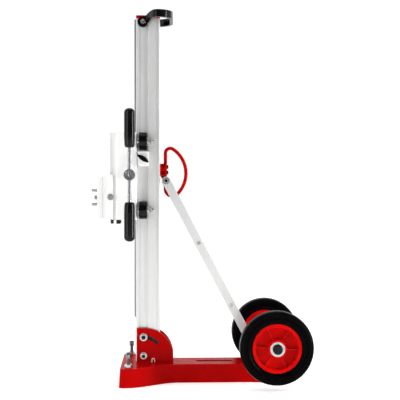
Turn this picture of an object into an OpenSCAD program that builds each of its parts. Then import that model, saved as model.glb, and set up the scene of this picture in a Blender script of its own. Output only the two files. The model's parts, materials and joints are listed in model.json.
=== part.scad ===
// Core drill rig: a wheeled base, a tilting rack column and a hand-cranked carriage.
// Origin: on the floor, in the mid-plane, straight below the column's tilt pivot.
// +X points to the wheels, -X to the drilling side, -Y to the crank side, +Z up.

/* [Base] */
// Height of the base casting
base_h = 52; // [46:1:58]
// Reach of the base in front of the pivot
base_front = 65; // [60:1:75]
// Reach of the base behind the pivot
base_rear = 380; // [370:1:400]
// Half width of the front foot
foot_half = 120; // [105:1:135]
// Half width of the narrow rear bar
bar_half = 51; // [48:1:60]
// Wall thickness of the hollow casting
base_wall = 8; // [6:0.5:9]
// Thickness of the casting's top
base_skin = 10; // [8:0.5:14]
// Width of the anchor slot
slot_w = 20; // [14:1:24]
// Length of the anchor slot
slot_len = 108; // [80:1:110]
// Front end of the anchor slot
slot_x = 147; // [140:1:150]

/* [Levelling screws] */
// Radius of the levelling screws
level_r = 5; // [4:0.5:6]
// Place of the front levelling screws along X
level_front_x = -39; // [-45:1:-35]
// Place of the front levelling screws across the base
level_front_y = 100; // [88:1:104]
// Place of the rear levelling screws along X
level_rear_x = 300; // [296:1:306]
// Place of the rear levelling screws across the base
level_rear_y = 38; // [36:1:40]
// Height of the top of a levelling screw's head
level_top = 94; // [88:1:96]

/* [Tilt bracket] */
// Height of the tilt pivot above the floor
pivot_z = 72; // [70:1:78]
// Radius of the cheek plates about the pivot
cheek_r = 80; // [75:1:84]
// Thickness of a cheek plate
cheek_t = 6; // [5:0.5:8]
// Radius of the tilt lock slot about the pivot
lock_arc_r = 53; // [48:1:56]
// Largest tilt of the column, in degrees
tilt_max = 45; // [30:5:45]
// Radius of the pivot bolt
pivot_r = 6; // [5:0.5:7]
// Radius of the tilt lock bolt
lock_r = 5; // [4:0.5:5.5]

/* [Column] */
// Depth of the column in front of the pivot
column_front = 22; // [20:1:24]
// Depth of the column behind the pivot
column_back = 46; // [44:1:50]
// Half width of the column
column_half = 23; // [22:0.5:26]
// Height of the column's top edge
column_top = 1028; // [950:1:1200]
// Thickness of the end cap
cap_t = 9; // [6:1:12]
// Depth of the roller channels
channel_depth = 5; // [4:0.5:5.5]
// Wall thickness of the extrusion
column_wall = 5; // [4:0.5:5.5]

/* [Rack and feed] */
// Module of the rack and its pinion
gear_module = 2; // [1.75:0.25:2]
// Teeth on the pinion
pinion_teeth = 10; // [10:1:11]
// Half width of the rack
rack_half = 10; // [9:0.5:11]
// Height of the rack's lower end
rack_bottom = 178; // [172:1:190]
// Height of the feed shaft
feed_z = 581.5; // [560:0.5:600]
// Radius of the feed shaft
shaft_r = 8; // [7:0.5:9]
// Radius of the shaft's neck that carries the pinion
neck_r = 5.5; // [4.5:0.5:6]
// Distance of the crank's plane from the mid-plane
crank_y = 110; // [109:0.5:111]
// Radius of the crank's cross rod
rod_r = 6.5; // [5:0.5:7]
// Radius of the crank's grips
grip_r = 15; // [12:0.5:15]
// Length of a grip
grip_len = 108; // [90:1:120]
// Distance from the shaft to a grip's outer end
crank_reach = 183; // [170:1:185]

/* [Carriage] */
// Distance of the housing's front face from the pivot axis
housing_front = 77.5; // [76:0.5:80]
// Distance of the housing's rear face from the pivot axis
housing_back = 17.5; // [17:0.5:18]
// Half width of the housing
housing_half = 56; // [54:1:58]
// Height of the housing's lower end
housing_bottom = 457.5; // [450:0.5:462]
// Height of the housing's upper end
housing_top = 702; // [698:0.5:708]
// Radius of the guide rollers
roller_r = 25; // [23:0.5:25.5]
// Width of the guide rollers
roller_w = 23.5; // [20:0.5:23.5]
// Height of the upper rollers
roller_top_z = 678; // [674:1:680]
// Height of the lower rollers
roller_bottom_z = 484; // [482:1:488]
// Radius of the roller axles
axle_pin_r = 6; // [5:0.5:7]

/* [Machine mount] */
// Thickness of the front plate
front_plate_t = 15.5; // [15:0.5:16]
// Height of the coupling plate's top
coupling_top = 584; // [580:1:590]
// Front face of the coupling plate
coupling_front = 99.5; // [99:0.5:101]
// Front face of the machine plate
machine_front = 129.5; // [127:0.5:133]
// Radius of the machine studs
stud_r = 4.25; // [3.5:0.25:5]
// Spacing of the studs across the plate
stud_gap_y = 50; // [44:1:60]
// Spacing of the studs up the plate
stud_gap_z = 39.5; // [36:0.5:44]

/* [Strut] */
// Place of the strut's upper pivot along X
strut_top_x = 63.5; // [62:0.5:64]
// Height of the strut's upper pivot
strut_top_z = 567.5; // [560:0.5:572]
// Place of the strut's foot pin along X
strut_foot_x = 322.5; // [318:0.5:326]
// Height of the strut's foot pin
strut_foot_z = 75; // [74:0.5:78]
// Half width of a strut bar
strut_half = 12; // [10:0.5:13]
// Thickness of a strut bar
strut_t = 8; // [6:0.5:9]
// Half width of the lugs between the bars
lug_half = 9.7; // [8:0.1:9.7]

/* [Handles] */
// Height of the carry handle's pivot
carry_z = 1016; // [940:1:1190]
// Place of the carry handle's pivot along X
carry_x = -2; // [-3:0.5:0]
// Radius of the carry handle's eyes
carry_eye_r = 15; // [13:0.5:16]
// Height of the carry handle's strap
carry_h = 21; // [18:0.5:23]
// Thickness of the carry handle's strap
carry_t = 9; // [7:0.5:10]
// Reach of the carry handle from its pivot to its outer edge
carry_reach = 85; // [80:1:90]
// Half width of the carry handle's loop
carry_half = 75; // [68:1:76]
// Radius of the loop handle's rod
loop_r = 5; // [4:0.5:5]

/* [Wheels] */
// Radius of a wheel
wheel_r = 100; // [95:1:104]
// Width of a tyre
tyre_w = 50; // [40:1:50]
// Radius where the tyre sits on its rim
rim_r = 66; // [60:1:70]
// Place of the wheel axles along X
wheel_x = 362; // [360:1:366]
// Height of the wheel axles
wheel_z = 114; // [106:1:120]
// Distance of a wheel's mid-plane from the middle
wheel_y = 154; // [154:0.5:158]
// Radius of the stub axles
stub_r = 10; // [8:0.5:11]

/* [Hidden] */
$fn = 64;

// Clearances
run_gap = 0.05;    // radial gap of a running or threaded fit
slide_gap = 0.3;   // gap between parts that slide past each other
over = 1;          // how far a cut runs past the face that it opens

// Base
taper_start = -45;
taper_end = 100;
flare_start = 290;
flare_len = 50;
flare_half = 5;
corner_r = 10;
rear_corner_r = 24;
pad_half = 15;
rib_half = 3.5;
boss_r = 15;
rib_places = [70, 110, 275, 330];
slot_end = slot_x + slot_len;

// Tilt bracket: cheeks stand on the base beside the column
cheek_in = column_half + 0.5;
cheek_out = cheek_in + cheek_t;
cheek_front = 19.5;
cheek_shift = 4;
cheek_arc_z = pivot_z - 2;
cheek_top = cheek_arc_z + sqrt(cheek_r * cheek_r - (cheek_shift - over) * (cheek_shift - over));
lock_slot_half = lock_r + slide_gap;
washer_t = 2;
bolt_head_t = 7;
foot_clear = 2;                     // gap between the column's foot and the base
column_foot = base_h + foot_clear;
foot_drop = pivot_z - column_foot;  // from the pivot down to the column's foot

// Column profile
channel_front = 13.5;
channel_back = 12;
channel_floor = column_half - channel_depth;
rack_bed = column_front - 8;
cavity_front = rack_bed - column_wall;
tslot_mouth_half = 6;
tslot_head_half = 11;
tslot_lip = 6;
tslot_head_depth = 10;
cavity_back = column_back - tslot_lip - tslot_head_depth - 4;
cavity_half = channel_floor - column_wall;
groove_x = column_back - 9.5;
groove_w = 3;
groove_depth = 1.2;
edge_r = 2.5;
cap_r = 5;

// Rack and pinion: the rack's pitch line is a pitch radius from the shaft
pitch = PI * gear_module;
pitch_r = gear_module * pinion_teeth / 2;
feed_x = -(column_front + 4 + pitch_r);
pitch_line_x = feed_x + pitch_r;
rack_add = 1;
rack_ded = 2.6;
pinion_add = 2;
pinion_ded = 1.5;
pressure = 20;
backlash = 0.3;
rack_tip_x = pitch_line_x - rack_add;
rack_root_x = pitch_line_x + rack_ded;
pinion_half = 9;
rack_screw_gap = 160;
rack_screw_r = 3;

// Carriage
roller_front_x = -12.9;
roller_back_x = roller_front_x + roller_w;
roller_y = channel_floor + roller_r + slide_gap;
roller_collar_r = 9;
housing_recess_half = 30;
housing_recess_x = 29.5;
chamber_r = pitch_r + pinion_add + 2;
chamber_half = 12;
bush_r = 11;
boss_face = housing_half + 4;
boss_big_r = 30;
brake_top = 648.5;
brake_bottom = 608;
brake_front_x = -14.8;
brake_back_x = 14;
brake_out = 64;
brake_z = (brake_top + brake_bottom) / 2;
brake_x = (brake_front_x + brake_back_x) / 2;
brake_screw_r = 5;
knob_len = 40;
knob_w = 13;
knob_t = 13;
knob_turn = 33;

// Machine mount: a dovetail on the front plate carries the coupling plate
plate_face = housing_front + front_plate_t;
plate_half = 50;
dove_neck = 40;
dove_wide = 46;
dove_back = plate_face - 9.5;
coupling_half = 57;
coupling_back = dove_back + 0.5;
coupling_bottom = housing_bottom + slide_gap;
machine_half = 48;
machine_bottom = 460;
machine_top = 580;
spacer_front = 115;
layer_step = 1.5;
stud_tip = 146;
stud_root_r = stud_r - 0.6;
stud_mouth = 1.5;
stud_mid_z = (machine_top + machine_bottom) / 2;
key_tip = 138;
key_h = 11;
key_half = 35;
clamp_screw_x = -(plate_face - 1.5);
clamp_screw_z = coupling_top - 63;
clamp_head_r = 9;

// Strut
strut_dx = strut_foot_x - strut_top_x;
strut_dz = strut_top_z - strut_foot_z;
strut_len = sqrt(strut_dx * strut_dx + strut_dz * strut_dz);
strut_lean = atan2(strut_dx, strut_dz);
strut_in = lug_half + slide_gap;
strut_out = strut_in + strut_t;
strut_pin_r = 6;
foot_slot_run = 24.6;
foot_slot_drop = 1.7;
foot_slot_half = 9;
clamp_back_x = 66;
clamp_half = 21;
lug_drop = 14;
lug_front = strut_top_x - strut_half;
clamp_low_z = strut_top_z + strut_half + 3.5;
clamp_top_z = clamp_low_z + 33;

// Loop handle: three arcs that meet the bar's line, in the mid-plane
loop_bar_x = 61.5;
loop_big_r = 83.7;
loop_top_r = 14;
loop_low_r = 20;
loop_mid_x = 36.5;
loop_mid_z = strut_top_z + 21.5;
function loop_rise(r) = sqrt(pow(loop_big_r - r, 2) - pow(loop_bar_x + r - loop_mid_x, 2));
function loop_angle(r) = atan2(loop_rise(r), loop_bar_x + r - loop_mid_x);

// Carry handle
carry_mid = carry_t / 2;
carry_eye_y = 31;
carry_eye_in = carry_eye_y - carry_mid;
carry_lift = 17;
carry_lift_run = 28;
carry_flare_x = 6;
carry_flare_run = 34;
carry_loop_r = 40;
carry_screw_r = 4;

// Wheels
hub_r = 24;
hub_half = 29;
spoke_t = 3;
bearing_r = 20;
bearing_w = 12;
bracket_in = 36;
bracket_t = 10;
bracket_head_r = 20;

function smooth(t) = (1 - cos(180 * min(max(t, 0), 1))) / 2;
function reversed(list) = [for (i = [len(list) - 1:-1:0]) list[i]];
function mirrored(list) = [for (p = reversed(list)) [p[0], -p[1]]];
function arc(cx, cy, r, from, to, steps) =
  [for (i = [0:steps]) let (a = from + (to - from) * i / steps) [cx + r * cos(a), cy + r * sin(a)]];

// A cylinder along X or Y, given by its radius, its two ends and its centre
module x_rod(r, x0, x1, y, z) {
  translate([x0, y, z]) rotate([0, 90, 0]) cylinder(h = x1 - x0, r = r);
}
module y_rod(r, y0, y1, x, z) {
  translate([x, y0, z]) rotate([-90, 0, 0]) cylinder(h = y1 - y0, r = r);
}
// A hexagonal prism along X, Y or Z, given by its width across flats
module x_hex(af, x0, x1, y, z) {
  translate([x0, y, z]) rotate([0, 90, 0]) cylinder(h = x1 - x0, r = af / 2 / cos(30), $fn = 6);
}
module y_hex(af, y0, y1, x, z) {
  translate([x, y0, z]) rotate([-90, 0, 0]) cylinder(h = y1 - y0, r = af / 2 / cos(30), $fn = 6);
}
module z_hex(af, z0, z1, x, y) {
  translate([x, y, z0]) cylinder(h = z1 - z0, r = af / 2 / cos(30), $fn = 6);
}
// Its children, and their mirror image across the mid-plane
module both_sides() {
  children();
  mirror([0, 1, 0]) children();
}
// A profile drawn in X and Z, extruded from one Y to another
module y_slab(y0, y1) {
  translate([0, y1, 0]) rotate([90, 0, 0]) linear_extrude(height = y1 - y0) children();
}

// ---------------------------------------------------------------- base
function base_half(x) = bar_half
  + (foot_half - bar_half) * (1 - smooth((x - taper_start) / (taper_end - taper_start)))
  + flare_half * smooth((x - flare_start) / flare_len);
function base_side(inset) = concat(
  arc(corner_r - base_front, foot_half - corner_r, corner_r - inset, 180, 90, 4),
  [for (x = [taper_start + 5:15:taper_end]) [x, base_half(x) - inset]],
  [[flare_start, base_half(flare_start) - inset]],
  [for (i = [1:3]) let (x = flare_start + flare_len * i / 3) [x, base_half(x) - inset]],
  arc(base_rear - rear_corner_r, bar_half + flare_half - rear_corner_r, rear_corner_r - inset, 90, 0, 6));
function base_outline(inset) = concat(base_side(inset), mirrored(base_side(inset)));

// The four places of the levelling screws
level_places = [[level_front_x, -level_front_y], [level_front_x, level_front_y],
  [level_rear_x, -level_rear_y], [level_rear_x, level_rear_y]];

module base_pockets() {
  difference() {
    polygon(base_outline(base_wall));
    // pad under the pivot, and the ribs
    translate([-pad_half, -foot_half]) square([2 * pad_half, 2 * foot_half]);
    for (x = rib_places) translate([x - rib_half, -foot_half]) square([2 * rib_half, 2 * foot_half]);
    translate([-base_front, -rib_half]) square([base_rear + base_front, 2 * rib_half]);
    // walls of the anchor slot
    translate([slot_x - base_wall, -slot_w / 2 - base_wall])
      square([slot_len + 2 * base_wall, slot_w + 2 * base_wall]);
    for (p = level_places) translate(p) circle(r = boss_r);
  }
}
module base_plate() {
  color("red") difference() {
    linear_extrude(height = base_h) polygon(base_outline(0));
    translate([0, 0, -over]) linear_extrude(height = base_h - base_skin + over) base_pockets();
    // anchor slot with round ends
    translate([slot_x + slot_w / 2, -slot_w / 2, -over])
      cube([slot_len - slot_w, slot_w, base_h + 2 * over]);
    for (x = [slot_x + slot_w / 2, slot_end - slot_w / 2])
      translate([x, 0, -over]) cylinder(h = base_h + 2 * over, r = slot_w / 2);
    for (p = level_places)
      translate([p[0], p[1], -over]) cylinder(h = base_h + 2 * over, r = level_r + run_gap);
  }
}

module cheek_outline() {
  difference() {
    union() {
      translate([-cheek_front, base_h]) square([cheek_front + over, cheek_top - base_h]);
      translate([-cheek_front, base_h])
        square([cheek_front + cheek_shift + cheek_r, cheek_arc_z - base_h]);
      intersection() {
        translate([cheek_shift, cheek_arc_z]) circle(r = cheek_r, $fn = 128);
        translate([0, cheek_arc_z]) square([cheek_shift + cheek_r, cheek_r]);
      }
    }
    // tilt lock slot, from upright to the largest tilt
    intersection() {
      translate([0, pivot_z]) difference() {
        circle(r = lock_arc_r + lock_slot_half, $fn = 128);
        circle(r = lock_arc_r - lock_slot_half, $fn = 128);
      }
      translate([0, pivot_z])
        polygon([[0, 0], [0, 2 * cheek_r], [2 * cheek_r * sin(tilt_max), 2 * cheek_r * cos(tilt_max)]]);
    }
  }
}
module tilt_cheeks() {
  color("red") both_sides() difference() {
    y_slab(cheek_in, cheek_out) cheek_outline();
    for (a = [0, tilt_max])
      y_rod(lock_slot_half, cheek_in - over, cheek_out + over,
        lock_arc_r * sin(a), pivot_z + lock_arc_r * cos(a));
    y_rod(pivot_r + run_gap, cheek_in - over, cheek_out + over, 0, pivot_z);
  }
}

// A bolt along Y with its head at -Y and its nut at +Y, each on a washer
module cross_bolt(r, af, wash_r, face, x, z, gap) {
  seat = face + gap;
  y_rod(r, -seat - washer_t, seat + washer_t + bolt_head_t + 3, x, z);
  y_hex(af, -seat - washer_t - bolt_head_t, -seat - washer_t, x, z);
  difference() {
    y_rod(wash_r, -seat - washer_t, -seat, x, z);
    y_rod(r + run_gap, -seat - 2 * washer_t, -seat + over, x, z);
  }
  difference() {
    union() {
      y_rod(wash_r, seat, seat + washer_t, x, z);
      y_hex(af, seat + washer_t, seat + washer_t + bolt_head_t, x, z);
    }
    y_rod(r + run_gap, seat - over, seat + washer_t + bolt_head_t + over, x, z);
  }
}
module pivot_bolt() {
  color("silver") cross_bolt(pivot_r, 15, 10, cheek_out, 0, pivot_z, 0);
}
module strut_foot_lug() {
  low = strut_foot_z - foot_slot_drop;
  left = strut_foot_x - foot_slot_run;
  color("red") difference() {
    union() {
      translate([left - 16, -lug_half, base_h]) cube([foot_slot_run + 34, 2 * lug_half, low - base_h]);
      for (x = [left, strut_foot_x + 2])
        y_rod(foot_slot_half + 7, -lug_half, lug_half, x, low);
      translate([left, -lug_half, low]) cube([foot_slot_run + 2, 2 * lug_half, foot_slot_half + 7]);
    }
    // level slot for the strut's foot pin
    translate([left, -lug_half - over, low - foot_slot_half])
      cube([foot_slot_run, 2 * lug_half + 2 * over, 2 * foot_slot_half]);
    for (x = [left, strut_foot_x])
      y_rod(foot_slot_half, -lug_half - over, lug_half + over, x, low);
  }
}
module axle_brackets() {
  color("red") both_sides() difference() {
    union() {
      translate([wheel_x - bracket_head_r, bracket_in, base_h])
        cube([bracket_head_r + base_rear - 6 - wheel_x, bracket_t, wheel_z - base_h]);
      y_rod(bracket_head_r, bracket_in, bracket_in + bracket_t, wheel_x, wheel_z);
    }
    y_rod(stub_r + run_gap, bracket_in - over, bracket_in + bracket_t + over, wheel_x, wheel_z);
    // the bracket's head ends in line with its foot
    translate([base_rear - 6, bracket_in - over, base_h])
      cube([2 * bracket_head_r, bracket_t + 2 * over, wheel_r]);
  }
}
module stub_axles() {
  hub_in = wheel_y - hub_half - slide_gap;
  hub_out = wheel_y + hub_half;
  color("silver") both_sides() {
    y_rod(stub_r, bracket_in - 4, hub_out + 4, wheel_x, wheel_z);
    // shoulder between the bracket and the wheel's hub
    difference() {
      y_rod(stub_r + 5, bracket_in + bracket_t, hub_in, wheel_x, wheel_z);
      y_rod(stub_r, bracket_in, hub_in + over, wheel_x, wheel_z);
    }
    // inner head, welded against the bracket
    difference() {
      y_rod(stub_r + 4, bracket_in - 6, bracket_in, wheel_x, wheel_z);
      y_rod(stub_r, bracket_in - 4, bracket_in + over, wheel_x, wheel_z);
    }
  }
}
module axle_caps() {
  cap_in = wheel_y + hub_half + slide_gap;
  color("black") both_sides() difference() {
    union() {
      y_rod(13.5, cap_in, cap_in + 6, wheel_x, wheel_z);
      y_rod(10.5, cap_in + 6, cap_in + 9, wheel_x, wheel_z);
    }
    y_rod(stub_r + run_gap, cap_in - over, wheel_y + hub_half + 4, wheel_x, wheel_z);
  }
}
module levelling_nuts() {
  color("silver") for (p = level_places) difference() {
    z_hex(19, base_h, base_h + 10, p[0], p[1]);
    translate([p[0], p[1], base_h - over]) cylinder(h = 12, r = level_r + run_gap);
  }
}
module levelling_screw(p) {
  color("silver") {
    translate([p[0], p[1], 4]) cylinder(h = level_top - 18, r = level_r);
    z_hex(13, level_top - 14.5, level_top, p[0], p[1]);
  }
}
module levelling_screw_front_left() { levelling_screw(level_places[0]); }
module levelling_screw_front_right() { levelling_screw(level_places[1]); }
module levelling_screw_rear_left() { levelling_screw(level_places[2]); }
module levelling_screw_rear_right() { levelling_screw(level_places[3]); }

// -------------------------------------------------------------- column
// One half of the column's outline, from the front to the back
function column_side() = concat(
  arc(edge_r - column_front, column_half - edge_r, edge_r, 180, 90, 3),
  [[-channel_front - channel_depth / 5, column_half], [-channel_front, channel_floor],
    [channel_back, channel_floor], [channel_back + channel_depth / 5, column_half],
    [groove_x, column_half], [groove_x, column_half - groove_depth],
    [groove_x + groove_w, column_half - groove_depth], [groove_x + groove_w, column_half]],
  arc(column_back - edge_r, column_half - edge_r, edge_r, 90, 0, 3));
module column_profile() {
  difference() {
    polygon(concat(column_side(), mirrored(column_side())));
    // bed of the rack
    translate([-column_front - over, -rack_half]) square([column_front - rack_bed + over, 2 * rack_half]);
    translate([-cavity_front, -cavity_half]) square([cavity_front + cavity_back, 2 * cavity_half]);
    // rear T-slot
    translate([column_back - tslot_lip - over, -tslot_mouth_half])
      square([tslot_lip + 2 * over, 2 * tslot_mouth_half]);
    translate([column_back - tslot_lip - tslot_head_depth, -tslot_head_half])
      square([tslot_head_depth, 2 * tslot_head_half]);
  }
}
module column_extrusion() {
  // the back of the foot is cut so that it lies above the base at the largest tilt
  cut_x = foot_drop * tan(tilt_max / 2);
  cut_rise = (column_back + over - cut_x) * tan(tilt_max);
  color("gainsboro") difference() {
    translate([0, 0, column_foot]) linear_extrude(height = column_top - column_foot) column_profile();
    y_slab(-column_half - over, column_half + over)
      polygon([[cut_x - over / tan(tilt_max), column_foot - over],
        [column_back + over, column_foot - over],
        [column_back + over, column_foot + cut_rise]]);
    y_rod(9, -column_half - over, column_half + over, 0, pivot_z);
    y_rod(lock_r + run_gap, -column_half - over, column_half + over, 0, pivot_z + lock_arc_r);
    both_sides() y_rod(carry_screw_r + run_gap, cavity_half - over, channel_floor + over, carry_x, carry_z);
    for (z = [rack_bottom + 30:rack_screw_gap:column_top - 20])
      x_rod(rack_screw_r + run_gap, -rack_bed - over, -cavity_front + over, 0, z);
  }
}
// Rack teeth: a gap faces the pinion's tooth at rest
rack_low_k = ceil((rack_bottom - feed_z) / pitch);
rack_high_k = floor((column_top - feed_z) / pitch) - 1;
function rack_half_tooth(depth) = (pitch - backlash) / 4 + depth * tan(pressure);
module gear_rack() {
  teeth = [for (k = [rack_low_k:rack_high_k]) let (z = feed_z + (k + 0.5) * pitch)
    each [[rack_root_x, z - rack_half_tooth(rack_ded)], [rack_tip_x, z - rack_half_tooth(-rack_add)],
      [rack_tip_x, z + rack_half_tooth(-rack_add)], [rack_root_x, z + rack_half_tooth(rack_ded)]]];
  color("silver") difference() {
    y_slab(-rack_half, rack_half) polygon(concat([[-rack_bed, rack_bottom], [rack_root_x, rack_bottom]],
      teeth, [[rack_root_x, column_top], [-rack_bed, column_top]]));
    for (z = [rack_bottom + 30:rack_screw_gap:column_top - 20]) {
      x_rod(rack_screw_r + run_gap, rack_tip_x - over, -rack_bed + over, 0, z);
      x_rod(rack_screw_r + 2.5, rack_tip_x - over, rack_root_x + 3.5, 0, z);
    }
  }
}
module rack_screws() {
  color("dimgray") for (z = [rack_bottom + 30:rack_screw_gap:column_top - 20]) difference() {
    union() {
      x_rod(rack_screw_r, rack_root_x + 3.5, -cavity_front + 2, 0, z);
      x_rod(rack_screw_r + 2.2, rack_root_x + 0.5, rack_root_x + 3.5, 0, z);
    }
    x_hex(4, rack_root_x, rack_root_x + 2.5, 0, z);
  }
}
module end_cap() {
  plug = 6;
  cap_side = concat(arc(cap_r - column_front, column_half - cap_r, cap_r, 180, 90, 4),
    arc(column_back - cap_r, column_half - cap_r, cap_r, 90, 0, 4));
  color("red") union() {
    translate([0, 0, column_top]) linear_extrude(height = cap_t)
      polygon(concat(cap_side, mirrored(cap_side)));
    translate([-cavity_front + slide_gap, -cavity_half + slide_gap, column_top - plug])
      cube([cavity_front + cavity_back - 2 * slide_gap, 2 * cavity_half - 2 * slide_gap, plug]);
  }
}
module pivot_bush() {
  color("goldenrod") difference() {
    y_rod(9, -column_half, column_half, 0, pivot_z);
    y_rod(pivot_r + run_gap, -column_half - over, column_half + over, 0, pivot_z);
  }
}
module tilt_lock_bolt() {
  color("silver") cross_bolt(lock_r, 17, 11, cheek_out, 0, pivot_z + lock_arc_r, slide_gap);
}
module handle_spacers() {
  color("silver") both_sides() difference() {
    y_rod(8, channel_floor, carry_eye_in - slide_gap, carry_x, carry_z);
    y_rod(carry_screw_r + run_gap, channel_floor - over, carry_eye_in + over, carry_x, carry_z);
  }
}
module handle_screws() {
  seat = carry_eye_y + carry_mid + slide_gap;
  color("silver") both_sides() difference() {
    union() {
      y_rod(carry_screw_r, cavity_half - 2, seat, carry_x, carry_z);
      y_rod(6.5, seat, seat + 8, carry_x, carry_z);
    }
    y_hex(6, seat + 4, seat + 8 + over, carry_x, carry_z);
  }
}

// --------------------------------------------------------- carry handle
// Centre line of half of the strap, seen from above, from the eye to the loop's end
carry_line = concat(
  [for (x = [-carry_eye_r:6:0]) [carry_x + x, carry_eye_y]],
  [for (i = [0:10]) [carry_flare_x + carry_flare_run * i / 10,
    carry_eye_y + (carry_half - carry_mid - carry_eye_y) * smooth(i / 10)]],
  arc(carry_x + carry_reach - carry_mid - carry_loop_r, carry_half - carry_mid - carry_loop_r,
    carry_loop_r, 80, 0, 8));
// The line moved sideways by a distance, square to its own direction
function beside(line, d) = [for (i = [0:len(line) - 1])
  let (a = line[max(i - 1, 0)], b = line[min(i + 1, len(line) - 1)], v = b - a, n = norm(v))
  line[i] + d * [-v[1], v[0]] / n];
module carry_plan() {
  outer = beside(carry_line, carry_mid);
  inner = beside(carry_line, -carry_mid);
  difference() {
    polygon(concat(outer, mirrored(outer)));
    polygon(concat(inner, mirrored(inner)));
  }
}
module carry_elevation() {
  rise = [for (i = [0:7]) [carry_x + carry_lift_run * i / 7, carry_z + carry_lift * smooth(i / 7)]];
  line = concat(rise, [[carry_x + carry_reach + over, carry_z + carry_lift]]);
  polygon(concat(beside(line, carry_h / 2), reversed(beside(line, -carry_h / 2))));
}
module carry_handle() {
  color("black") difference() {
    intersection() {
      translate([0, 0, carry_z - 2 * carry_h]) linear_extrude(height = 4 * carry_h) carry_plan();
      union() {
        y_slab(-carry_half - over, carry_half + over) carry_elevation();
        y_rod(carry_eye_r, -carry_half - over, carry_half + over, carry_x, carry_z);
      }
    }
    y_rod(carry_screw_r + run_gap, -carry_half, carry_half, carry_x, carry_z);
  }
}

// ------------------------------------------------------------ carriage
module housing_plan() {
  round_r = 6;
  side = concat([[-housing_front, housing_half - round_r]],
    arc(round_r - housing_front, housing_half - round_r, round_r, 150, 90, 2),
    arc(-housing_back - round_r, housing_half - round_r, round_r, 90, 0, 3),
    [[-housing_back, housing_recess_half], [-housing_recess_x, housing_recess_half]]);
  polygon(concat(side, mirrored(side)));
}
module carriage_housing() {
  color("silver") difference() {
    union() {
      translate([0, 0, housing_bottom]) linear_extrude(height = housing_top - housing_bottom) housing_plan();
      // bearing bosses, flat where they meet the housing's rear face
      both_sides() intersection() {
        y_rod(boss_big_r, housing_half - over, boss_face, feed_x, feed_z);
        translate([-housing_front, housing_half - over, housing_bottom])
          cube([housing_front - housing_back, boss_face, housing_top - housing_bottom]);
      }
    }
    // chamber of the pinion, open to the rack
    y_rod(chamber_r, -chamber_half, chamber_half, feed_x, feed_z);
    y_rod(bush_r + run_gap, -boss_face - over, boss_face + over, feed_x, feed_z);
    for (z = [roller_bottom_z, roller_top_z]) both_sides()
      x_rod(axle_pin_r + run_gap, -housing_front - over, -housing_back + over, roller_y, z);
    // lightening pockets above and below the bearing
    for (z0 = [housing_bottom + 46, feed_z + boss_big_r + 12])
      translate([12 - housing_front, -22, z0]) cube([24, 44, 36]);
    for (sy = [-1, 1]) for (z = [housing_bottom + 20, housing_top - 20])
      x_rod(3 + run_gap, -housing_front - over, 16 - housing_front, sy * 24, z);
  }
}
module front_plate() {
  color("gainsboro") difference() {
    union() {
      translate([-dove_back, -plate_half, housing_bottom])
        cube([dove_back - housing_front, 2 * plate_half, housing_top - housing_bottom]);
      translate([0, 0, housing_bottom]) linear_extrude(height = housing_top - housing_bottom)
        polygon([[-dove_back, -dove_neck], [-plate_face, -dove_wide],
          [-plate_face, dove_wide], [-dove_back, dove_neck]]);
    }
    for (sy = [-1, 1]) for (z = [housing_bottom + 20, housing_top - 20]) {
      x_rod(3 + run_gap, -plate_face - over, -housing_front + over, sy * 24, z);
      x_rod(5.5 + run_gap, -plate_face - over, 7 - plate_face, sy * 24, z);
    }
  }
}
module plate_screws() {
  color("dimgray") for (sy = [-1, 1]) for (z = [housing_bottom + 20, housing_top - 20]) difference() {
    union() {
      x_rod(3, 7 - plate_face, 14 - housing_front, sy * 24, z);
      x_rod(5.5, 1 - plate_face, 7 - plate_face, sy * 24, z);
    }
    x_hex(5, -plate_face, 4 - plate_face, sy * 24, z);
  }
}
module roller_axles() {
  color("silver") for (z = [roller_bottom_z, roller_top_z]) both_sides() {
    x_rod(axle_pin_r, 8 - housing_front, roller_back_x + slide_gap + 18, roller_y, z);
    // collar between the housing and the roller
    difference() {
      x_rod(roller_collar_r, -housing_back, roller_front_x - slide_gap, roller_y, z);
      x_rod(axle_pin_r, -housing_back - over, roller_front_x, roller_y, z);
    }
  }
}
module roller_nuts() {
  seat = roller_back_x + slide_gap;
  color("silver") for (z = [roller_bottom_z, roller_top_z]) both_sides() difference() {
    union() {
      x_rod(11, seat, seat + 2.5, roller_y, z);
      x_hex(17, seat + 2.5, seat + 12, roller_y, z);
    }
    x_rod(axle_pin_r + run_gap, seat - over, seat + 13, roller_y, z);
  }
}
// A guide roller: tread between two low flanges, recessed sides and a running bore
module roller(side, z) {
  half = roller_w / 2;
  color("black") translate([roller_front_x + half, side * roller_y, z]) rotate([0, 90, 0])
    rotate_extrude($fn = 96) polygon([
      [axle_pin_r + run_gap, -half], [14, -half], [16, 3 - half], [20, 3 - half], [21, -half],
      [roller_r - 1.5, -half], [roller_r, 1.5 - half], [roller_r, half - 1.5], [roller_r - 1.5, half],
      [21, half], [20, half - 3], [16, half - 3], [14, half], [axle_pin_r + run_gap, half]]);
}
module roller_top_left() { roller(-1, roller_top_z); }
module roller_top_right() { roller(1, roller_top_z); }
module roller_bottom_left() { roller(-1, roller_bottom_z); }
module roller_bottom_right() { roller(1, roller_bottom_z); }

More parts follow.
